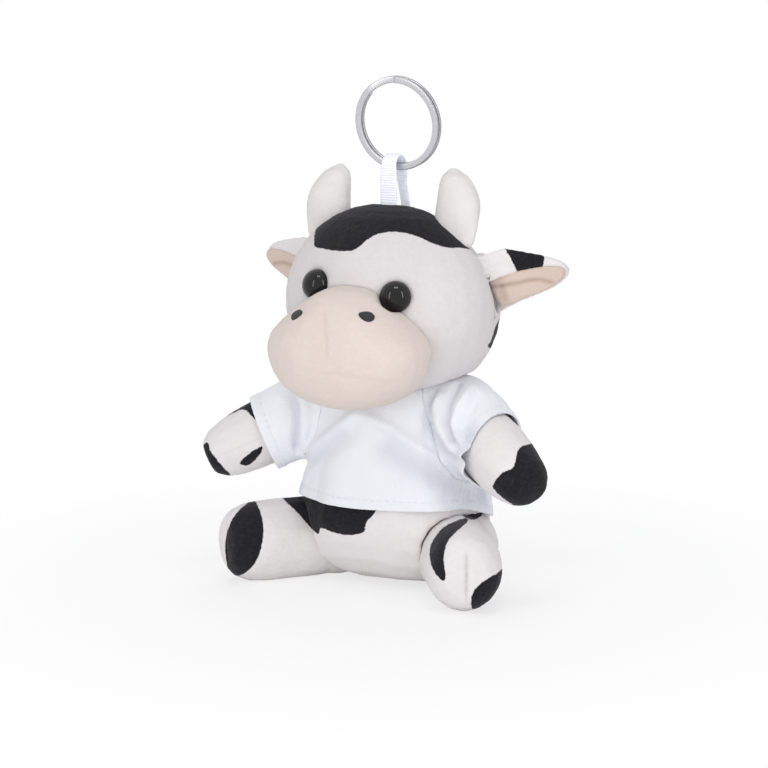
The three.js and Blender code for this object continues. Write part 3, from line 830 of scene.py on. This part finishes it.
washer_depth = 3.4 * mm
dome_steps = 14
profile = [
    (0, -shank_length), (shank_radius, -shank_length), (shank_radius, -eye_brim),
    (eye_radius - 0.35 * mm, -eye_brim), (eye_radius - 0.08 * mm, -0.35 * mm), (eye_radius, -0.1 * mm),
]
for i in range(dome_steps):
    angle = i / dome_steps * math.pi / 2
    profile.append((eye_radius * math.cos(angle), eye_dome * math.sin(angle)))
profile.append((0, eye_dome))
for side in sides:
    axis, washer_middle = eye_axis(side)
    seat = washer_middle + axis * washer_depth
    eye = as_piece(f"eye_dome_{side}", spun(profile, axis, seat), eye_gloss)
    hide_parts(f"eye_{side}")
    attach(eye, "head")
    print(eye.name, "seat, mm:", [round(c / mm, 1) for c in seat])

# %% [markdown]
# ## Nostrils
#
# Each nostril is a small oval of satin stitch: short parallel threads, longest in the middle, that dive into
# the plush at both ends. Each thread is a tube along a short bow, laid on the muzzle by looking up the
# nearest point of its surface.

# %% Thread and nostrils
thread_finish = Finish("black_thread")
lint = thread_finish.speckle(thread_finish.place(), 0.4 * mm, detail=3.0)
thread_color = thread_finish.mixed(lint, (0.010, 0.009, 0.010), (0.034, 0.032, 0.036))
lint_bump = thread_finish.bump(lint, 0.4, 0.1 * mm)
black_thread = thread_finish.surface(
    base_color=thread_color, roughness=0.7, sheen_weight=0.1, normal=lint_bump,
)
thread_end = 0.45


def tube(work, path, radius, segments=6):
    """A round thread along a path, narrowed and closed at both ends."""

    def shape(k, verts):
        ahead = path[min(k + 1, len(path) - 1)] - path[max(k - 1, 0)]
        turn = Vector((0, 0, 1)).rotation_difference(ahead).to_matrix()
        narrow = thread_end if k in (0, len(path) - 1) else 1.0
        for v in verts:
            v.co = path[k] + turn @ (v.co * radius * narrow)

    swept(work, len(path), segments, shape)


muzzle_tree = tree_of(muzzle)
nostril_size = 3.8 * mm
nostril_threads = 13
thread_radius = 0.25 * mm
thread_lift, thread_sink = 0.34, 0.22
nostril_at = {"left": (366.5, 316.2), "right": (297.1, 314.4)}
for side, sign in sign_of.items():
    work = bmesh.new()
    place, normal, _, _ = muzzle_tree.ray_cast(eye_point, ray_through(*nostril_at[side]))
    print(f"nostril_{side} lies at, mm:", [round(c / mm, 1) for c in place])
    over = (Vector((0, 0, 1)) - normal * normal.z).normalized()
    tilt = Matrix.Rotation(math.radians(-18 * sign), 3, normal)
    over, aside = tilt @ over, tilt @ over.cross(normal)
    for i in range(nostril_threads):
        t = (i - (nostril_threads - 1) / 2) / (nostril_threads / 2)
        half = nostril_size / 2 * math.sqrt(1 - t * t) * (0.9 + 0.28 * t * sign)
        path = []
        for s in np.linspace(-1, 1, 7):
            guess = place + aside * (nostril_size / 2 * t) + over * (half * s)
            skin, out, _, _ = muzzle_tree.find_nearest(guess)
            path.append(skin + out * (thread_lift * (1 - s**4) - thread_sink) * mm)
        tube(work, path, thread_radius)
    bmesh.ops.recalc_face_normals(work, faces=work.faces)
    nostril = as_piece(f"nostril_{side}", work, black_thread)
    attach(nostril, "head")
    print(nostril.name, "threads:", nostril_threads)

# %% [markdown]
# ## The T-shirt
#
# The shirt is a small version of a real one: a front and a back panel, two sleeves set in at the armholes
# and turned hems. Its outer form is the hull of the construction shirt, joined to the hulls of the two
# sleeves. A remesh welds them, planes open the hem and the cuffs, and the folds are pressed in along lines.
# Where the cloth then touches the plush it is lifted off. At the armholes it is parted again, into the body
# and the two sleeves.

# %% Jersey
jersey_finish = Finish("white_jersey")
grain = jersey_finish.stored("knit_place", output="Vector")
wander = jersey_finish.speckle(grain, 7.0)
wales = (jersey_finish.part_of(grain, "X") * 10.5 + wander * 1.5).math("SINE") * 0.5 + 0.5
courses = (jersey_finish.part_of(grain, "Y") * 15.0).math("SINE") * 0.5 + 0.5
fuzz = jersey_finish.speckle(grain, 0.5, detail=3.0)
knit = wales * 0.6 + wales * courses * 0.4
tone = (knit * 0.35 + fuzz * 0.4 + wander * 0.25).clamped()
# Painted shade, stored on the mesh, darkens the jersey along its folds and on its shaded side.
painted_cloth_shade = jersey_finish.stored("painted_cloth_shade")
jersey_color = jersey_finish.mixed(tone, (0.82, 0.845, 0.895), (0.885, 0.90, 0.935))
jersey_color = jersey_finish.mixed(painted_cloth_shade.clamped(), jersey_color, (0.50, 0.52, 0.60))
white_jersey = jersey_finish.surface(
    base_color=jersey_color,
    roughness=0.88,
    specular_ior_level=0.2,
    sheen_weight=0.12,
    normal=jersey_finish.bump(knit + fuzz * 0.5, 0.35, 0.12 * mm),
)


# %% Shirt envelope
def hull(node):
    """The tightest bulging form round a construction node."""
    work = copied(node)
    made = bmesh.ops.convex_hull(work, input=work.verts)
    spare = [v for v in made["geom_interior"] if isinstance(v, bmesh.types.BMVert)]
    bmesh.ops.delete(work, geom=spare, context="VERTS")
    inner = [f for f in work.faces if f not in set(made["geom"])]
    bmesh.ops.delete(work, geom=inner, context="FACES_ONLY")
    return work


# The hull's ends are drawn out past the hem and the cuffs, so that the cuts below leave clean edges
hem_corner, hem_spare = 26 * mm, 8 * mm
cuff_corner, cuff_spare = 14 * mm, 4 * mm
cloth_voxel = 0.6 * mm
cloth_rounds = 24
cloth_swell = 0.25 * mm
envelope = bmesh.new()
for node in ("shirt_body", "sleeve_left", "sleeve_right"):
    part = hull(node)
    for v in part.verts:
        if node == "shirt_body":
            v.co.z -= hem_spare if v.co.z < hem_corner else 0
        else:
            side = node.removeprefix("sleeve_")
            along = (v.co - shoulder_at[side]).dot(arm_aim[side])
            v.co += arm_aim[side] * (cuff_spare if along > cuff_corner else 0)
    mesh = bpy.data.meshes.new("hull")
    part.to_mesh(mesh)
    part.free()
    envelope.from_mesh(mesh)
    bpy.data.meshes.remove(mesh)
bmesh.ops.recalc_face_normals(envelope, faces=envelope.faces)
cloth = pushed(smoothed(evenly_meshed(envelope, cloth_voxel), cloth_rounds), cloth_swell)
print("shirt envelope vertices:", len(cloth.verts))

# %% Open the hem, the cuffs and the neck
hem_front = 22.2 * mm
hem_dip = 5 * mm
cuff_reach = {"left": 17.3 * mm, "right": 19.4 * mm}
cuff_tilt = {"left": (rightward * 0.83 + upward * 0.56) * 0.32, "right": Vector((0, 0, 0.05))}
cuff_normal = {side: (arm_aim[side] + cuff_tilt[side]).normalized() for side in arm_aim}
neck_half = Vector((12.5, 8.6)) * mm
neck_y = -2 * mm
neck_low = 48 * mm
collar_low = 44 * mm


def hem_drop(points):
    """How much lower the hem hangs than in front, towards the back."""
    angle = np.arctan2(points[:, 1] - neck_y, points[:, 0])
    t = np.clip((np.sin(angle) + 0.4) / 0.85, 0, 1)
    return hem_dip * t * t * (3 - 2 * t)


def shifted(work, sign):
    """Lifts the hem straight, or lets it hang again."""
    for v, drop in zip(work.verts, hem_drop(points_of(work))):
        v.co.z += sign * float(drop)


def neck_share(x, y):
    """Below 1 inside the oval of the neck opening."""
    return np.hypot(x / neck_half.x, (y - neck_y) / neck_half.y)


def trim(work, place, outward):
    """Cuts with a plane and drops what lies beyond it."""
    geometry = work.verts[:] + work.edges[:] + work.faces[:]
    bmesh.ops.bisect_plane(work, geom=geometry, dist=0.0001 * mm, plane_co=place, plane_no=outward,
                           clear_outer=True)


shifted(cloth, 1)
trim(cloth, Vector((0, 0, hem_front)), Vector((0, 0, -1)))
shifted(cloth, -1)
for side in sides:
    trim(cloth, shoulder_at[side] + arm_aim[side] * cuff_reach[side], cuff_normal[side])
opening = [v for v in cloth.verts if v.co.z > neck_low and neck_share(v.co.x, v.co.y) < 1]
bmesh.ops.delete(cloth, geom=opening, context="VERTS")


# %% Folds
# Each fold: its line in the picture, its height and its half width, in mm. A furrow's height is below 0
folds = [
    ([(358, 411), (340, 427), (321, 443), (302, 459)], 1.3, 1.5),
    ([(352, 430), (328, 452), (308, 470)], -0.7, 2.0),
    ([(354, 411), (388.5, 427), (418.8, 448), (451.4, 466.6), (482, 489)], 1.4, 1.6),
    ([(376, 438), (400, 458), (424, 474), (444, 484)], -0.45, 2.3),
    ([(441, 391), (435, 408), (439.8, 427), (451, 450), (474.7, 466.6)], 1.5, 1.0),
    ([(433, 396), (426, 412), (430, 430), (441, 448)], -1.2, 1.1),
    ([(460, 380), (448, 402), (446, 420), (450, 437), (460, 453)], -1.4, 0.85),
    ([(473, 384), (458.4, 408), (452.4, 427), (455.7, 443), (468, 462)], 1.4, 0.95),
    ([(480, 392), (467, 412), (462, 430), (467, 448)], -1.0, 0.9),
    ([(290, 388), (295, 405), (297.6, 420), (295.2, 443), (299, 456)], -1.3, 0.9),
    ([(303, 392), (307, 415), (304, 436), (306, 450)], 0.8, 1.4),
    ([(278, 392), (285, 418), (287, 442)], 0.6, 1.6),
]
# Where shade is painted on the cloth: a line in the picture, its half width in mm and how dark it is
shades = [
    ([(342, 434), (322, 452), (303, 466)], 1.7, 0.36),
    ([(388, 450), (425, 472), (455, 488), (480, 500)], 3.4, 0.42),
    ([(432, 398), (427, 414), (429, 428), (438, 444), (454, 460)], 1.0, 0.4),
    ([(461, 384), (449, 404), (446, 422), (451, 440)], 0.8, 0.45),
    ([(292, 390), (297, 406), (297.6, 424), (296, 448)], 0.8, 0.5),
    ([(470, 436), (478, 460), (493, 484)], 4.0, 0.5),
]
fold_end = 0.15
cuff_hug = {"left": 1.3 * mm, "right": 0.6 * mm}


def along_arm(points, side):
    """How far points lie along the arm's axis, from the shoulder, and how far away from that axis."""
    from_shoulder = points - np.array(shoulder_at[side])
    along = from_shoulder @ np.array(arm_aim[side])
    return along, np.linalg.norm(from_shoulder - along[:, None] * np.array(arm_aim[side]), axis=1)


def folded(work):
    """How far each vertex moves for the folds. The painted shade along the shade lines is stored on the
    mesh.
    """
    points, normals = points_of(work), normals_of(work)
    places = in_picture(points)
    facing = np.clip(towards_eye(points, normals) * 2.5, 0, 1)
    height = np.zeros(len(points))
    dark = np.zeros(len(points))
    for line, rise, half in folds:
        gap, share = distance_to(places, line)
        height += rise * mm * groove(gap / pixels_per_mm, half) * np.sqrt(faded(share, fold_end)) * facing
    for line, half, strength in shades:
        dark += strength * groove(distance_to(places, line)[0] / pixels_per_mm, half) * facing
    store(work, "painted_cloth_shade", np.clip(dark, 0, 1))
    angle = np.arctan2(points[:, 1] - neck_y, points[:, 0])
    low = falling(points[:, 2], 38 * mm, 14 * mm) * (np.abs(points[:, 0]) < 27 * mm)
    height += 0.35 * mm * (np.sin(6 * angle + 0.8) + 0.7 * np.sin(10 * angle + 2.6)) * low
    for side in sides:
        along, away = along_arm(points, side)
        on_sleeve = falling(away, 14 * mm, 2 * mm)
        height -= cuff_hug[side] * on_sleeve * rising(along, 8 * mm, 9 * mm)
    return height + uneven(points, (0.3, 9, 3.3), (0.1, 3, 8.8))


pushed(cloth, folded(cloth))
smoothed(cloth, 1)
cloth_gap = 0.85 * mm
deepest_lift = 4 * mm
for under in stuffed_pieces:
    tree = tree_of(under)
    for v in cloth.verts:
        skin, out, _, _ = tree.find_nearest(v.co)
        lift = cloth_gap - (v.co - skin).dot(out)
        if 0 < lift < deepest_lift:
            v.co += out * lift


# %% Hems
hem_width = 2.6 * mm
hem_thickness = 0.16 * mm
far_away = 1.0


def edge_distance():
    """How far each vertex is from the hem and from the two cuffs, in metres."""
    points = points_of(cloth)
    gaps = [points[:, 2] + hem_drop(points) - hem_front]
    for side in sides:
        aim = np.array(arm_aim[side])
        from_shoulder = points - np.array(shoulder_at[side])
        out = (aim * cuff_reach[side] - from_shoulder) @ np.array(cuff_normal[side])
        gaps.append(np.where(from_shoulder @ aim > 5 * mm, out, far_away))
    return np.minimum.reduce(gaps)


def collar_distance():
    """How far each vertex is from the edge of the neck opening, in metres."""
    x, y, z = points_of(cloth).T
    return np.where(z > collar_low, (neck_share(x, y) - 1) * (neck_half.x + neck_half.y) / 2, far_away)


for from_edge in (edge_distance(), collar_distance()):
    turned = falling(from_edge, hem_width, 0.4 * mm)
    pushed(cloth, hem_thickness * turned - 0.1 * mm * groove(from_edge - hem_width, 0.32 * mm))


# %% Knit
def knit_places(work, side):
    """Stores where each vertex lies across and along the knit, in mm. A sleeve is knitted along its arm."""
    layer = work.verts.layers.float_vector.new("knit_place")
    if side:
        aim = arm_aim[side]
        across = aim.cross(Vector((0, 0, 1))).normalized()
    else:
        aim, across = Vector((0, 0, 1)), Vector((1, 0, 0))
    third = aim.cross(across)
    for v in work.verts:
        v[layer] = Vector((v.co.dot(across), v.co.dot(aim), v.co.dot(third))) / mm


# %% [markdown]
# ### Which faces belong to a sleeve
#
# A face belongs to a sleeve when it lies outside the armhole's leaning plane, within reach of the arm's axis
# and, low down, beyond the armpit. The body keeps everything else, so the two meet along the armhole without
# a gap. The line between them is then smoothed, because it follows the squares of the remesh.


# %% Split into the body and two sleeves
armhole_depth = 3.4 * mm
armhole_slant = {"left": 0.4, "right": 0.1}
sleeve_reach = 12.6 * mm
armpit_out, armpit_drop, armpit_slant = 4 * mm, 11 * mm, 0.9


def owner_of(face):
    """The sleeve that a face belongs to, or None for the body."""
    middle = face.calc_center_median()
    for name, sign in sign_of.items():
        from_shoulder = middle - shoulder_at[name]
        beyond = sign * from_shoulder.x > -armhole_depth - armhole_slant[name] * from_shoulder.z
        along = from_shoulder.dot(arm_aim[name])
        away = (from_shoulder - arm_aim[name] * along).length
        past_armpit = along > armpit_out - armpit_slant * (from_shoulder.z + armpit_drop)
        if beyond and away < sleeve_reach and past_armpit:
            return name
    return None


owners = [owner_of(face) for face in cloth.faces]
cloth.faces.index_update()
beside_seam = {}
for edge in cloth.edges:
    if len({owners[face.index] for face in edge.link_faces}) > 1:
        for v in edge.verts:
            beside_seam.setdefault(v, []).append(edge.other_vert(v))
seam_rounds = 30
for _ in range(seam_rounds):
    middles = {v: sum((w.co for w in others), Vector()) / len(others) for v, others in beside_seam.items()}
    for v, middle in middles.items():
        v.co = v.co.lerp(middle, 0.5)
next_to_seam = {w for v in beside_seam for e in v.link_edges for w in e.verts if w not in beside_seam}
smoothed(cloth, 4, list(next_to_seam))


def parted(work, side):
    """Keeps the faces of one sleeve, or of the body."""
    work.faces.ensure_lookup_table()
    drop = [face for face, owner in zip(work.faces, owners) if owner != side]
    bmesh.ops.delete(work, geom=drop, context="FACES")
    return work


shirt_wall = 0.55 * mm
shirt_pieces = {}
for side, name in ((None, "tshirt_body"), ("left", "tshirt_sleeve_left"), ("right", "tshirt_sleeve_right")):
    work = parted(cloth.copy(), side)
    knit_places(work, side)
    piece = as_piece(name, work, white_jersey)
    wall = piece.modifiers.new("cloth thickness", "SOLIDIFY")
    wall.thickness = shirt_wall
    wall.offset = -1
    shirt_pieces[side] = piece
    print(name, "faces:", len(piece.data.polygons))

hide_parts("shirt_body")
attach(shirt_pieces[None], "torso")
for side in sides:
    piece = shirt_pieces[side]
    shoulder = shoulder_at[side]
    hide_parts(f"sleeve_{side}")
    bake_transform(piece)
for side in sides:
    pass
for piece in shirt_pieces.values():
    area = sum(face.area for face in piece.data.polygons)
    print(piece.name, "cloth, square mm:", round(area / mm**2))

# %% [markdown]
# ## Hem stitches
#
# A double row would be too fine to see, so one row of small stitches runs round the hem and both cuffs.

# %% Stitches
white_thread_finish = Finish("white_thread")
twist = white_thread_finish.speckle(white_thread_finish.place(), 0.3 * mm, detail=3.0)
white_thread_color = white_thread_finish.mixed(twist, (0.76, 0.785, 0.84), (0.83, 0.85, 0.89))
white_thread = white_thread_finish.surface(base_color=white_thread_color, roughness=0.8)
stitch_pitch = 1.9 * mm
stitch_length = 1.15 * mm
stitch_radius = 0.11 * mm
stitch_lift, stitch_sink = 0.16, 0.1


def open_loop(piece, is_on):
    """The points of a piece's open edge that pass a test, in order round it."""
    work = bmesh.new()
    work.from_mesh(piece.data)
    edges = [e for e in work.edges if e.is_boundary and all(is_on(v.co) for v in e.verts)]
    beside = {}
    for e in edges:
        for v in e.verts:
            beside.setdefault(v, []).append(e.other_vert(v))
    start = next(iter(beside))
    order, last = [start], None
    while True:
        following = [v for v in beside[order[-1]] if v is not last]
        last = order[-1]
        if not following or following[0] is start or len(order) > len(beside):
            break
        order.append(following[0])
    points = [v.co.copy() for v in order]
    work.free()
    return points


def stitched(name, piece, loop, inward):
    """A row of stitches a hem's width in from an open edge."""
    tree = tree_of(piece)
    work = bmesh.new()
    lengths = np.cumsum([0] + [(b - a).length for a, b in zip(loop, loop[1:] + loop[:1])])
    count = int(lengths[-1] / stitch_pitch)

    def on_loop(distance):
        distance = distance % lengths[-1]
        i = min(int(np.searchsorted(lengths, distance, side="right")) - 1, len(loop) - 1)
        t = (distance - lengths[i]) / max(lengths[i + 1] - lengths[i], 1e-9)
        return loop[i].lerp(loop[(i + 1) % len(loop)], t)

    for k in range(count):
        path = []
        for s in np.linspace(-1, 1, 5):
            middle = on_loop((k + 0.5) * stitch_pitch + s * stitch_length / 2)
            skin, out, _, _ = tree.find_nearest(middle + inward * hem_width)
            path.append(skin + out * (stitch_lift * (1 - s * s) - stitch_sink) * mm)
        tube(work, path, stitch_radius, segments=5)
    bmesh.ops.recalc_face_normals(work, faces=work.faces)
    row = as_piece(name, work, white_thread)
    print(name, "stitches:", count)
    return row


hem_loop = open_loop(shirt_pieces[None], lambda p: p.z < hem_front + 1.5 * mm)
hem_stitches = stitched("hem_stitches", shirt_pieces[None], hem_loop, Vector((0, 0, 1)))
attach(hem_stitches, "torso")
for side in sides:
    shoulder = shoulder_at[side]
    reach = cuff_reach[side] - 5 * mm
    cuff_loop = open_loop(shirt_pieces[side], lambda p: (p - shoulder).dot(arm_aim[side]) > reach)
    row = stitched(f"cuff_stitches_{side}", shirt_pieces[side], cuff_loop, -arm_aim[side])
    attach(row, f"arm_{side}")

# %% [markdown]
# ## Ribbon
#
# The ribbon is a woven tape with thick cross ribs, folded over the ring's wire. Both ends go into the head's
# seam. It is one strip of sections along its path, six of them to each rib, and the rear leg is twisted as
# it comes off the wire. A weak glow stands for the light that comes through the weave.

# %% Tape
tape_finish = Finish("white_tape")
rib_pitch = 0.62 * mm
tape_where = tape_finish.stored("tape_place", output="Vector")
yarn = tape_finish.speckle(tape_where, 0.35, detail=3.0)
rib_waves = (tape_finish.part_of(tape_where, "Y") * (2 * math.pi * mm / rib_pitch)).math("SINE") * 0.5 + 0.5
tape_tone = (yarn * 0.5 + rib_waves * 0.5).clamped()
white_tape = tape_finish.surface(
    base_color=tape_finish.mixed(tape_tone, (0.78, 0.795, 0.87), (0.90, 0.905, 0.95)),
    roughness=0.75,
    normal=tape_finish.bump(yarn, 0.5, 0.1 * mm),
    emission_color=(0.9, 0.92, 1.0, 1),
    emission_strength=0.13,
)

# %% Ribbon
bight = joint_at["ring_swing"]
foot = joint_at["ribbon_fold"]
bend_radius = 2.8 * mm
tape_width = 5 * mm
tape_side = -0.8 * mm
tape_shift = 1.8 * mm
rear_twist = math.radians(-34)
tape_sink = 1.4 * mm
leg_length = bight.z - foot.z + tape_sink
bend_length = math.pi * bend_radius


def tape_station(s):
    """The middle, the width's direction and the outward direction of the tape at distance s along it."""
    if s < leg_length:
        middle = Vector((tape_side, bight.y - bend_radius, foot.z - tape_sink + s))
        return middle, Vector((1, 0, 0)), Vector((0, -1, 0))
    if s < leg_length + bend_length:
        angle = (s - leg_length) / bend_radius
        out = Vector((0, -math.cos(angle), math.sin(angle)))
        middle = Vector((tape_side, bight.y, bight.z)) + out * bend_radius
        return middle, Vector((1, 0, 0)), out
    drop = s - leg_length - bend_length
    share = min(drop / (bight.z - foot.z), 1)
    turn = Matrix.Rotation(rear_twist * min(share * 2.2, 1), 3, "Z")
    middle = Vector((tape_side + tape_shift * share, bight.y + bend_radius, bight.z - drop))
    return middle, turn @ Vector((1, 0, 0)), turn @ Vector((0, 1, 0))


work = bmesh.new()
place_layer = work.verts.layers.float_vector.new("tape_place")
tape_length = 2 * leg_length + bend_length
stations = int(tape_length / (rib_pitch / 6))
tape_thickness = 0.32
rib_rise = 0.09
edge_notch = 0.14 * mm
bunching = 0.2


def tape_ring(k, verts):
    """One section of the tape: thick on a rib, notched between two, narrower and thicker in the bend."""
    s = tape_length * k / stations
    middle, wide, out = tape_station(s)
    rib = 0.5 + 0.5 * math.cos(2 * math.pi * s / rib_pitch)
    bunched = 1 - bunching * math.exp(-(((s - tape_length / 2) / (5 * mm)) ** 2))
    half_width = tape_width * bunched / 2 - edge_notch * (1 - rib)
    half_depth = (tape_thickness + rib_rise * rib + 0.25 * (1 - bunched)) * mm
    basis = Matrix((wide, out, wide.cross(out))).transposed()
    for v in verts:
        x = math.copysign(abs(v.co.x) ** 0.55, v.co.x) * half_width
        y = math.copysign(abs(v.co.y) ** 0.8, v.co.y) * half_depth
        v[place_layer] = Vector((x / mm, s / mm, y / mm))
        v.co = middle + basis @ Vector((x, y, 0))


swept(work, stations + 1, 20, tape_ring)
bmesh.ops.recalc_face_normals(work, faces=work.faces)
ribbon = as_piece("ribbon_loop", work, white_tape)
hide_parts("hanging_ribbon")
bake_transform(ribbon)
print("ribbon stations:", stations, "triangles:", 2 * len(ribbon.data.polygons))

# %% [markdown]
# ## Split ring
#
# Two turns of flattened wire, with a step at the top where one turn passes into the other. The wire is one
# closed skin of rounded rectangles. It is made round the origin and moved before it becomes an object, so
# that its object stays at the origin. A reflection is painted into the steel's colour: the flat sides are
# painted darker, as the dark of a room would mirror there, and the inner corners lighter, as its light
# would.

# %% Steel
steel_finish = Finish("ring_steel")
scuffs = steel_finish.speckle(steel_finish.place(), 0.9 * mm, detail=4.0, roughness=0.7)
steel_color = steel_finish.mixed(scuffs, (0.54, 0.54, 0.57), (0.63, 0.63, 0.66))
# Painted reflection: the flat sides are painted darker and the inner corners lighter.
steel_color = steel_finish.mixed(steel_finish.stored("painted_dark_side") * 0.6, steel_color, (0.22, 0.22, 0.235))
steel_color = steel_finish.mixed(steel_finish.stored("painted_bright_corner") * 0.6, steel_color, (0.86, 0.86, 0.88))
ring_steel = steel_finish.surface(
    base_color=steel_color,
    metallic=1.0,
    roughness=scuffs * 0.08 + 0.32,
    normal=steel_finish.bump(scuffs, 0.15, 0.03 * mm),
)

# %% Wire
ring_diameter = 24 * mm
wire_width = 1.7 * mm
wire_thickness = 0.86 * mm
ring_pitch = 1.3 * mm
ring_step = math.radians(46)
ring_end = math.radians(1)
ring_side = 1.2 * mm
ring_lean = math.radians(8)
ring_radius = ring_diameter / 2 - wire_width / 2
upwards = Vector((0, -math.sin(ring_lean), math.cos(ring_lean)))
ring_middle = bight + Vector((ring_side, 0, 0)) + upwards * ring_radius
wire_steps = 300
squareness = 0.42


def ease(t):
    t = min(max(t, 0), 1)
    return t * t * (3 - 2 * t)


wire = bmesh.new()
dark_side_layer = wire.verts.layers.float.new("painted_dark_side")
bright_corner_layer = wire.verts.layers.float.new("painted_bright_corner")


def wire_ring(k, verts):
    """One section of the two turns, which run about the Y axis."""
    first, last = ring_step / 2, 4 * math.pi - ring_step / 2
    turn = first + (last - first) * k / wire_steps
    climb = ease((turn - (2 * math.pi - ring_step / 2)) / ring_step)
    level = ring_pitch * (climb - 0.5)
    angle = math.pi / 2 - ring_end - (turn - first)
    radial = Vector((math.cos(angle), 0, math.sin(angle)))
    for v in verts:
        out = math.copysign(abs(v.co.x) ** squareness, v.co.x) * wire_width / 2
        along = math.copysign(abs(v.co.y) ** squareness, v.co.y) * wire_thickness / 2
        # Masks for the painted reflection: the flat sides and the inner corners
        v[dark_side_layer] = min(max((abs(v.co.x) - 0.78) / 0.1, 0), 1)
        v[bright_corner_layer] = math.exp(-(((abs(v.co.x) - 0.72) / 0.09) ** 2)) * (v.co.x < 0)
        v.co = radial * (ring_radius + out) + Vector((0, level + along, 0))


swept(wire, wire_steps + 1, 24, wire_ring)
bmesh.ops.recalc_face_normals(wire, faces=wire.faces)
at_loop = Matrix.Translation(ring_middle) @ Matrix.Rotation(ring_lean, 4, "X")
bmesh.ops.transform(wire, matrix=at_loop, verts=wire.verts)
ring = as_piece("key_ring", wire, ring_steel)
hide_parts("split_ring")
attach(ring, "ring")

# %% [markdown]
# ## Washers
#
# The lock washers stay as they are, inside the head, with a moulded finish of their own.

# %% Washer finish
washer_finish = Finish("washer_plastic")
mould = washer_finish.speckle(washer_finish.place(), 1.5 * mm)
washer_plastic = washer_finish.surface(
    base_color=washer_finish.mixed(mould, (0.66, 0.66, 0.63), (0.74, 0.74, 0.71)), roughness=0.5,
)
for side in sides:
    washer = frame["nodes"][f"eye_washer_{side}"]
    washer.data.materials.clear()
    washer.data.materials.append(washer_plastic)

# %% [markdown]
# ## Floor and light
#
# A product picture like this one is lit from large soft sources, and its ground is white. The floor's own
# colour is pale, and what the camera or a mirror sees of it is lifted towards white, so no lamp has to burn
# it out. Near the toy the lift is weaker, so that its shadow stays.

# %% Floor
floor_finish = Finish("floor")
matt = floor_finish.node("ShaderNodeBsdfDiffuse", {"Color": (0.92, 0.92, 0.92, 1)})
glow = floor_finish.node("ShaderNodeEmission", {"Color": (1, 1, 1, 1), "Strength": 1.0})
where = floor_finish.place()
from_toy = floor_finish.node("ShaderNodeVectorMath", [where], output="Value", operation="LENGTH")
far = ((from_toy - 45 * mm) / (100 * mm)).clamped()
lifted = floor_finish.seen_directly() * (far * 0.3 + 0.7)
blended = floor_finish.node("ShaderNodeMixShader", [lifted, matt, glow])
floor_finish.node("ShaderNodeOutputMaterial", {"Surface": blended})

floor_mesh = bmesh.new()
bmesh.ops.create_grid(floor_mesh, x_segments=1, y_segments=1, size=3.0)
floor = as_piece("floor", floor_mesh, floor_finish.owner, smooth=False)

# %% World and lamps
studio = Finish("studio", bpy.data.worlds.new("studio"))
bpy.context.scene.world = studio.owner
ambient = studio.node("ShaderNodeBackground", {"Color": (0.97, 0.98, 1.0, 1), "Strength": 0.56})
white = studio.node("ShaderNodeBackground", {"Color": (1, 1, 1, 1), "Strength": 1.0})
either = studio.node("ShaderNodeMixShader", [studio.seen_directly(), ambient, white])
studio.node("ShaderNodeOutputWorld", {"Surface": either})
lamp_reach = 0.5


def soft_box(name, side_angle, rise_angle, size, power, mirrored=True):
    """A rectangular lamp that faces the toy from half a metre away.

    Its angles are measured from the camera's direction, in degrees. Polished pieces mirror it, unless
    mirrored is False.
    """
    aside, up = math.radians(side_angle), math.radians(rise_angle)
    level = Vector((backward.x, backward.y, 0)).normalized()
    across = level * math.cos(aside) + rightward * math.sin(aside)
    place = (across * math.cos(up) + Vector((0, 0, 1)) * math.sin(up)) * lamp_reach
    lamp = bpy.data.lights.new(name, "AREA")
    lamp.shape = "RECTANGLE"
    lamp.size, lamp.size_y = size
    lamp.energy = power
    holder = bpy.data.objects.new(name, lamp)
    bpy.context.scene.collection.objects.link(holder)
    holder.location = look_at + place
    holder.rotation_euler = (look_at - holder.location).to_track_quat("-Z", "Y").to_euler()
    holder.visible_glossy = mirrored


soft_box("right strip", 42, 22, (0.05, 0.32), 0.34)
soft_box("left strip", -42, 18, (0.07, 0.32), 0.26)
soft_box("top strip left", -14, 68, (0.05, 0.09), 0.17)
soft_box("top strip right", 14, 68, (0.05, 0.09), 0.17)
soft_box("front fill", -16, 5, (0.32, 0.26), 0.10, mirrored=False)
soft_box("low fill", -10, -2, (0.6, 0.05), 0.55, mirrored=False)
soft_box("back fill", 180, 25, (0.5, 0.4), 0.85, mirrored=False)
bpy.context.scene.view_settings.view_transform = "Standard"
